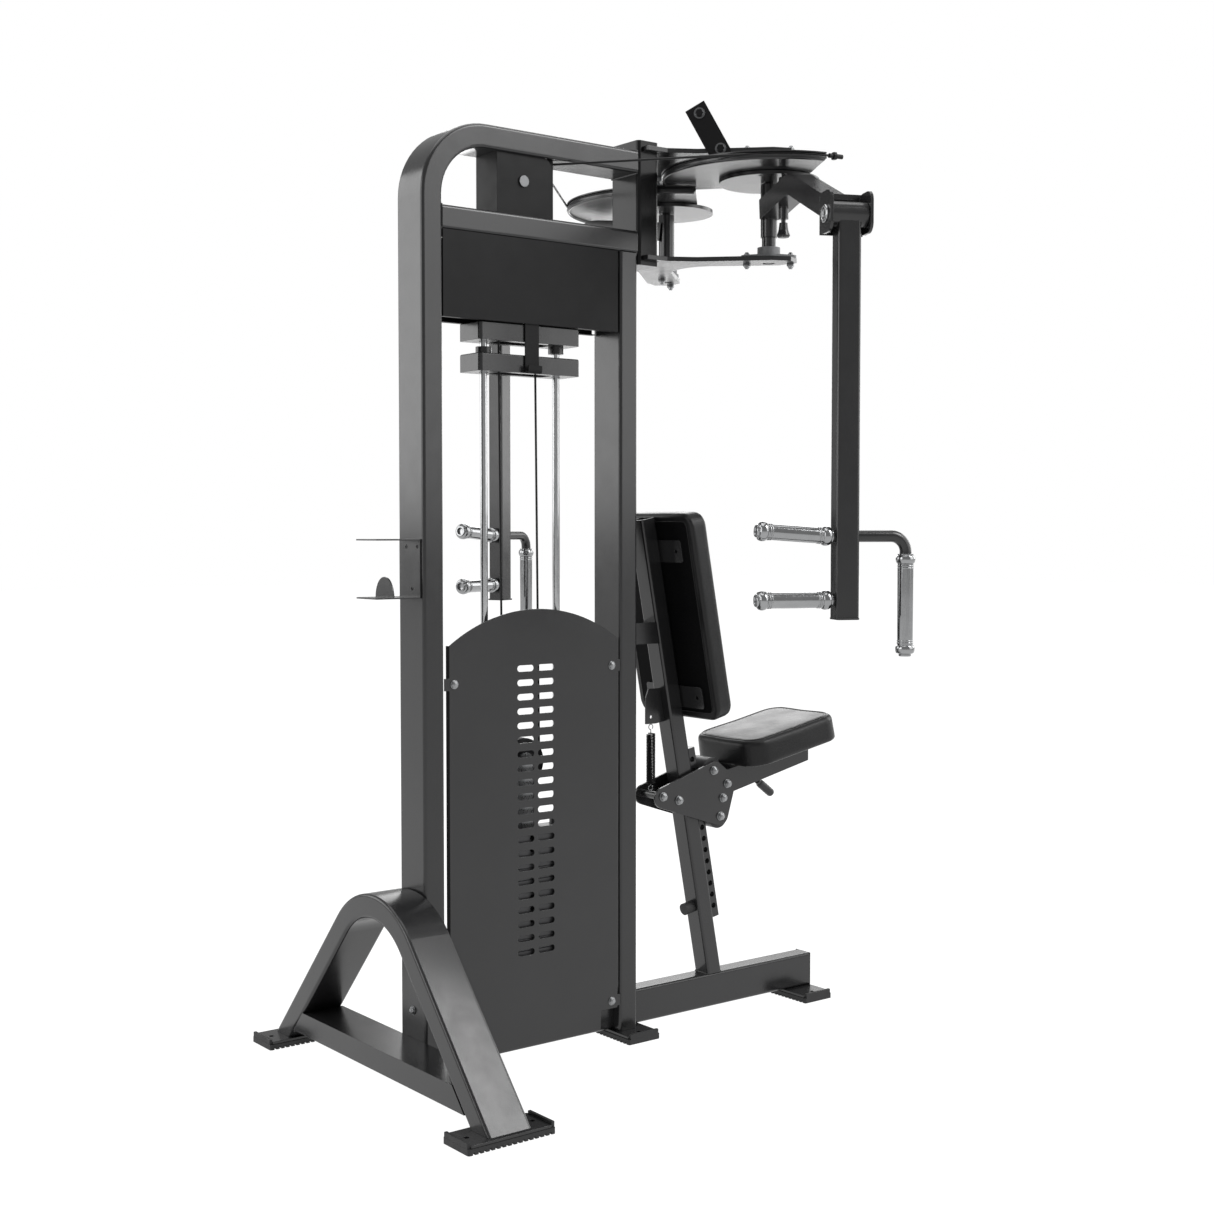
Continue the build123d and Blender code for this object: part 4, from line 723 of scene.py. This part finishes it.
# ----------------------------------------------------------------- fasteners
WASHER_T = 0.0016
LONG_BOLT = 0.035       # longer islands are bolts right through the carriage
NUT_R = 0.0088
NUT_HEIGHT = 0.016
SHELF_ABOVE = 1.0       # fasteners on a rear face above this height hold the shelf
SCREW = [(-0.001, 0.0042), (0.0, 0.0044), (0.0008, 0.004)]
SCREW += [(0.001, 0.0022), (-0.0004, 0.002), (-0.0004, 0.0002)]
STOP_BAR_FOOT = Vector((-0.1412, -0.2362, 2.011))
STOP_BAR_EDGE = Vector((0.70, 0.714, 0)).normalized()
STOP_BAR_FACE = Vector((-0.714, 0.70, 0)).normalized()
STOP_BAR_HALF = 0.006
STOP_SCREWS = ((0.002, 0.008), (-0.046, 0.088))     # along the bar's edge, and up
PIN_R = 0.0078
LIP_R = 0.0038
RIM_START = 24.5        # degrees of the cam's rim, from the side towards the rear
RIM_SWEEP = 141.7


def islands(node):
    """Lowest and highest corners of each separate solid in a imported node."""
    mesh = bmesh.new()
    mesh.from_mesh(frame["nodes"][node].data)
    bmesh.ops.remove_doubles(mesh, verts=mesh.verts, dist=1e-5)
    left = set(mesh.verts)
    found = []
    while left:
        reached = [left.pop()]
        corners = []
        while reached:
            vertex = reached.pop()
            corners.append(vertex.co.copy())
            for edge in vertex.link_edges:
                other = edge.other_vert(vertex)
                if other in left:
                    left.remove(other)
                    reached.append(other)
        low = Vector(min(corner[axis] for corner in corners) for axis in range(3))
        high = Vector(max(corner[axis] for corner in corners) for axis in range(3))
        found.append((low, high))
    mesh.free()
    return sorted(found, key=lambda pair: tuple(round(value, 4) for value in (*pair[0], *pair[1])))


def nut(seat, axis, radius, height):
    """Washer, chamfered nut, locking collar and the bolt's threaded end."""
    washer = [(0, radius * 0.5), (0, radius * 1.12), (0.0012, radius * 1.15)]
    washer += [(WASHER_T, radius * 1.1), (WASHER_T, radius * 0.5)]
    top = height * 0.62
    hexagon = [(WASHER_T, radius * 0.5), (WASHER_T, radius * 0.96), (WASHER_T + 0.0006, radius)]
    hexagon += [(top - 0.0006, radius), (top, radius * 0.9)]
    collar = [(top, radius * 0.4), (top, radius * 0.74)]
    collar += [(height * 0.78, radius * 0.72), (height * 0.84, radius * 0.6)]
    end = [(height * 0.8, radius * 0.2)]
    steps = 6
    for step in range(steps + 1):
        rise = height * (0.8 + 0.18 * step / steps)
        end.append((rise, radius * (0.5 if step % 2 else 0.46)))
    end.append((height, radius * 0.38))
    return [
        lathe(washer, seat, axis, 28),
        lathe(hexagon, seat, axis, 6),
        lathe(collar, seat, axis, 28),
        lathe(end, seat, axis, 20),
    ]


def axis_vector(axis, sign):
    """Unit vector along an axis, by the axis's number."""
    direction = [0.0, 0.0, 0.0]
    direction[axis] = sign
    return Vector(direction)


def make_fasteners():
    """Lock nuts and washers in place of the plain bolt heads."""
    for node, body in (("carriage_bolts", "seat_carriage"), ("frame_bolts", "frame")):
        heads = []
        shanks = []
        screws = []
        for low, high in islands(node):
            size = high - low
            centre = (low + high) / 2
            if max(size) > LONG_BOLT:
                for sign, end in ((1, high.z), (-1, low.z)):
                    seat = Vector((centre.x, centre.y, end - sign * NUT_HEIGHT))
                    heads += nut(seat, Vector((0, 0, sign)), NUT_R, NUT_HEIGHT)
                foot = centre - Vector((0, 0, size.z / 2 - 0.015))
                shanks.append(lathe([(0, 0.005), (size.z - 0.03, 0.005)], foot, Vector((0, 0, 1)), 16))
                continue
            axis = min(range(3), key=lambda index: size[index])
            sign = 1 if centre[axis] > 0 else -1
            seat = centre.copy()
            seat[axis] = low[axis] if sign > 0 else high[axis]
            if axis == 1 and centre.z > SHELF_ABOVE:
                screws.append(lathe(SCREW, seat, axis_vector(axis, sign), 24))
                continue
            radius = sorted(size)[1] / 2 * 0.84
            heads += nut(seat, axis_vector(axis, sign), radius, size[axis])
        piece = joined(node.replace("bolts", "lock_nuts"), heads + shanks, "zinc", body)
        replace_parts(piece, node)
        if screws:
            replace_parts(joined("shelf_screws", screws, "black_plastic", body), node)


def make_stop_screws():
    """Button heads with washers on the stop bar's outer face, each with a black hexagon in its recess as painted
    shade of the socket.
    """
    up = STOP_BAR_EDGE.cross(STOP_BAR_FACE)
    heads = []
    sockets = []
    for across, rise in STOP_SCREWS:
        seat = STOP_BAR_FOOT - STOP_BAR_EDGE * across + up * rise + STOP_BAR_FACE * STOP_BAR_HALF
        head = [(0, 0.004), (0, 0.0125), (0.0014, 0.0125), (0.0014, 0.0096)]
        for step in range(7):
            turn = pi / 2 * step / 6
            head.append((0.0018 + 0.0036 * sin(turn), 0.0042 + 0.005 * cos(turn)))
        head.append((0.0044, 0.0036))
        heads.append(lathe(head, seat, STOP_BAR_FACE, 32))
        # A black hexagon just above each head's recess floor: painted shade standing in for a hollow hex socket.
        sockets.append(lathe([(0.003, 0.0035), (0.0046, 0.0036)], seat, STOP_BAR_FACE, 6))
    joined("stop_screws", heads, "zinc", "frame").data.materials[0] = DULL_STEEL
    joined("stop_screw_socket_shades", sockets, "black_plastic", "frame")


def make_hinge_caps():
    """Pins of the forearm hinges, with stepped round caps."""
    cap = [(0.0395, PIN_R), (0.0455, PIN_R), (0.0455, 0.0172), (0.0463, 0.018), (0.0492, 0.018)]
    cap += [(0.0502, 0.0168), (0.0502, 0.0142), (0.0494, 0.0136), (0.0494, 0.0118), (0.0502, 0.0112)]
    cap += [(0.0502, 0.0072), (0.0488, 0.0066), (0.0488, 0.0004)]
    for side, _ in side_names():
        hinge = bounds_middle(side + "_hinge_pin")
        axis = Vector(JOINTS[side + "_forearm_swing"]["axis"])
        parts = [lathe([(-0.0397, PIN_R), (0.0397, PIN_R)], hinge, axis, 24)]
        parts += [lathe(cap, hinge, axis * way, 40) for way in (1, -1)]
        caps = joined(side + "_hinge_caps", parts, "chrome", side + "_arm")
        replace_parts(caps, side + "_hinge_pin")


def make_cam_lips():
    """Rounded lower edge of each cam's grooved rim."""
    steps = 96
    for side, sign in side_names():
        pivot = joint_place(side + "_cam_swing")
        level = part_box(side + "_cam")[0].z - 0.001
        points = []
        for step in range(steps + 1):
            turn = radians(RIM_START + RIM_SWEEP * step / steps)
            x = pivot.x - sign * CAM_GROOVE_R * cos(turn)
            points.append(Vector((x, pivot.y + CAM_GROOVE_R * sin(turn), level)))
        tube_piece(side + "_cam_lip", points, LIP_R, "frame_paint", side + "_cam")


# ------------------------------------------------------------------------ grips
GRIP_R = 0.0161
ARM_BEARING = radians(155.8)                        # of the arms at rest, from the front
REAR_GRIPS = ((1.145, radians(4)), (1.017, 0))      # height and upward tilt
REAR_GRIP_LENGTH = 0.165
DROP_GRIP_TOP = 1.112
DROP_GRIP_END = 0.898
TUBE_HALF = 0.025
BAR_REACH = 0.132       # from the hanging tube's middle to the drop grip


def ring(centre, half, height):
    """Profile of a rounded bead on the grip's barrel."""
    steps = 8
    points = []
    for step in range(steps + 1):
        turn = pi * step / steps
        points.append((centre - half * cos(turn), GRIP_R + height * sin(turn)))
    return points


def grip_profile(length):
    """Barrel between two beads, with a ring inside each and a hollow screw end."""
    root = 0.0127
    profile = [(0.0022, root), (0.0022, GRIP_R)]
    profile += ring(0.0135, 0.0085, 0.0038)
    profile += ring(0.0265, 0.0016, 0.0011) + ring(0.031, 0.0014, 0.0009)
    profile += [(length / 2, GRIP_R + 0.0002)]
    profile += ring(length - 0.034, 0.0014, 0.0009) + ring(length - 0.0295, 0.0016, 0.0011)
    profile += ring(length - 0.0165, 0.0085, 0.0038)
    end = length - 0.002
    profile += [(end - 0.0045, 0.0128), (end - 0.001, 0.0128), (end, 0.0118), (end, 0.0092)]
    profile += [(end - 0.001, 0.0084), (end - 0.008, 0.0078), (end - 0.0085, 0.0004)]
    return profile


def make_grips():
    """Turned chrome grips on the rear stubs and the drop bar of each forearm."""
    for side, sign in side_names():
        hinge = joint_place(side + "_forearm_swing")
        rearward = Vector((-sign * sin(ARM_BEARING), -cos(ARM_BEARING), 0))
        parts = []
        for z, tilt in REAR_GRIPS:
            way = rearward * cos(tilt) + Vector((0, 0, sin(tilt)))
            start = Vector((hinge.x, hinge.y, z)) + rearward * (TUBE_HALF - 0.003) + way * 0.006
            parts.append(lathe(grip_profile(REAR_GRIP_LENGTH), start, way, 40))
        top = Vector((hinge.x, hinge.y, DROP_GRIP_TOP)) - rearward * BAR_REACH
        profile = grip_profile(DROP_GRIP_TOP - DROP_GRIP_END)
        parts.append(lathe(profile, top, Vector((0, 0, -1)), 40))
        piece = joined(side + "_turned_grips", parts, "chrome", side + "_forearm")
        piece.data.materials[0] = GRIP_CHROME
        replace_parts(piece, side + "_grips")


# -------------------------------------------------------------- welds and trim
BEAD_R = 0.0022
BEAD_STEP = 0.0016
BEAD_INSET = 0.004      # from a tube's side to where the bead turns its corner
BEAM_WIDTH = 0.05
CAP_WIDTH = 0.0485
LEVER_X = -0.016
LEVER_GRIP_LENGTH = 0.048


def bead(name, corners):
    """Rippled weld bead on the frame, round a closed run of corners."""
    points = []
    for start, end in zip(corners, corners[1:] + corners[:1]):
        count = max(2, int((end - start).length / BEAD_STEP))
        points += [start.lerp(end, step / count) for step in range(count)]
    ripples = {"ripple": 0.16, "ripple_every": 4}
    tube_piece(name, points, BEAD_R, "frame_paint", "frame", sides=8, closed=True, **ripples)


def ring_y(y, low, high):
    """Corners of a section's outline in an upright plane across the machine."""
    left = low.x + BEAD_INSET
    right = high.x - BEAD_INSET
    return [Vector((x, y, z)) for x, z in ((left, low.z), (right, low.z), (right, high.z), (left, high.z))]


def make_welds():
    """Beads where the crossbar, floor tubes, beam and seat post meet their neighbours."""
    low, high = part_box("crossbar")
    bead("crossbar_rear_weld", ring_y(high.y, low, high))
    bead("crossbar_front_weld", ring_y(low.y, low, high))
    base_low, base_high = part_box("base_tubes")
    post_low, post_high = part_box("front_post")
    for name, y in (("rear", post_high.y), ("front", post_low.y)):
        bead("base_tube_" + name + "_weld", ring_y(y, base_low, base_high))
    carrier_low, carrier_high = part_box("carrier_tube")
    beam_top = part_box("rear_arch_tube")[1].z
    section_low = Vector((carrier_low.x, 0, beam_top - BEAM_WIDTH))
    section_high = Vector((carrier_high.x, 0, beam_top))
    bead("beam_weld", ring_y(carrier_high.y, section_low, section_high))
    seat_low, seat_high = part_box("seat_post")
    front = seat_low.y - 0.0003
    rear = seat_low.y + 0.043
    left = seat_low.x + BEAD_INSET
    right = seat_high.x - BEAD_INSET
    spots = ((left, front), (right, front), (right, rear), (left, rear))
    bead("seat_post_weld", [Vector((*spot, base_high.z)) for spot in spots])


def make_trim():
    """End caps of the hanging tubes and the soft grip of the seat lever."""
    for side, _ in side_names():
        hinge = joint_place(side + "_forearm_swing")
        axis = JOINTS[side + "_forearm_swing"]["axis"]
        turn = atan2(axis[1], axis[0])
        middle = Vector((hinge.x, hinge.y))
        tube_end = min(
            corner.co.z
            for corner in frame["nodes"][side + "_forearm"].data.vertices
            if (corner.co.xy - middle).length < 0.04
        )
        vertices, faces = rounded_block((CAP_WIDTH, CAP_WIDTH), 0.006, -0.0012, 0.0028, 0.0016, 0.0004)
        place = Matrix.Translation((hinge.x, hinge.y, tube_end)) @ Matrix.Rotation(turn, 4, "Z")
        placed = [place @ vertex for vertex in vertices]
        new_piece(side + "_tube_cap", placed, faces, "black_plastic", side + "_forearm")
    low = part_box("seat_lever")[0]
    pivot = joint_place("seat_lever_pull")
    tip = Vector((LEVER_X, low.y + 0.004, low.z + 0.004))
    along = (tip - Vector((LEVER_X, pivot.y - 0.007, pivot.z - 0.004))).normalized()
    profile = [(-0.002, 0.006), (0.0, 0.0085), (0.003, 0.0098)]
    for step in range(9):
        profile.append((0.006 + 0.0045 * step, 0.0105 if step % 2 else 0.0098))
    profile += [(0.047, 0.0102), (0.051, 0.0084), (0.0535, 0.005), (0.0542, 0.001)]
    vertices, faces = lathe(profile, tip - along * LEVER_GRIP_LENGTH, along, 24)
    new_piece("lever_grip", vertices, faces, "black_plastic", "seat_lever")


# ---------------------------------------------------------------------- stage
def make_stage():
    """Pale floor and large soft lamps, most of them above eye level."""
    bpy.ops.mesh.primitive_plane_add(size=60, location=(0, 0, -0.0005))
    floor = bpy.context.object
    floor.name = "studio_floor"
    material, principled = shader("floor_paint", (0.1, 0.1, 0.1), Roughness=0.9, Specular_IOR_Level=0.05)
    clouds = texture(material, "ShaderNodeTexNoise", 0.6)
    tint(material, principled, clouds.outputs["Fac"], (0.09, 0.09, 0.09), (0.11, 0.11, 0.11))
    principled.inputs["Emission Color"].default_value = (1, 1, 1, 1)
    principled.inputs["Emission Strength"].default_value = 1.0
    floor.data.materials.append(material)
    lamps = (
        ("overhead", (0.2, 0.1, 4.4), (0, 0, 1.0), 3.4, 75),
        ("far_rear", (3.6, 3.1, 2.75), (0, 0, 2.75), 3.1, 82),
        ("rear", (0.6, 4.6, 2.6), (0, 0, 2.6), 2.8, 75),
        ("front", (-0.6, -4.5, 2.6), (0, 0, 2.6), 2.8, 70),
        ("near_side", (-3.6, -2.6, 2.75), (0, 0, 2.75), 3.1, 60),
        ("near_high", (-2.9, -2.0, 4.1), (0, 0, 1.0), 1.8, 90),
        ("far_front", (3.3, -2.9, 2.6), (0, 0, 1.0), 2.6, 60),
    )
    for name, spot, target, size, watts in lamps:
        light = bpy.data.lights.new(name, "AREA")
        light.size = size
        light.energy = watts
        lamp = bpy.data.objects.new(name, light)
        lamp.location = spot
        lamp.rotation_euler = (Vector(target) - Vector(spot)).to_track_quat("-Z", "Y").to_euler()
        lamp.visible_camera = False
        bpy.context.scene.collection.objects.link(lamp)


def make_surround():
    """White backdrop to the camera, and a dimmer even surround for the lighting."""
    world = bpy.data.worlds.new("studio")
    bpy.context.scene.world = world
    world.use_nodes = True
    nodes = world.node_tree.nodes
    links = world.node_tree.links
    lit = nodes["Background"]
    lit.inputs["Color"].default_value = (1, 1, 1, 1)
    lit.inputs["Strength"].default_value = 0.45
    shown = nodes.new("ShaderNodeBackground")
    shown.inputs["Color"].default_value = (1, 1, 1, 1)
    ray = nodes.new("ShaderNodeLightPath")
    mix = nodes.new("ShaderNodeMixShader")
    links.new(ray.outputs["Is Camera Ray"], mix.inputs["Fac"])
    links.new(lit.outputs["Background"], mix.inputs[1])
    links.new(shown.outputs["Background"], mix.inputs[2])
    links.new(mix.outputs["Shader"], nodes["World Output"].inputs["Surface"])


def make_camera():
    """Camera of the photograph, solved from the machine's edges and horizon."""
    aim = Vector((0.7905, -0.6108, -0.0445))
    data = bpy.data.cameras.new("camera")
    data.lens = 50
    data.sensor_width = 36
    camera = bpy.data.objects.new("camera", data)
    camera.location = (-3.0337, 2.321, 1.1547)
    camera.rotation_euler = aim.to_track_quat("-Z", "Y").to_euler()
    bpy.context.scene.collection.objects.link(camera)
    bpy.context.scene.camera = camera
    bpy.context.scene.view_settings.view_transform = "Standard"


dress_nodes()
make_cables()
make_spring()
make_pads()
make_fasteners()
make_stop_screws()
make_hinge_caps()
make_cam_lips()
make_grips()
make_welds()
make_trim()
make_stage()
make_surround()
make_camera()
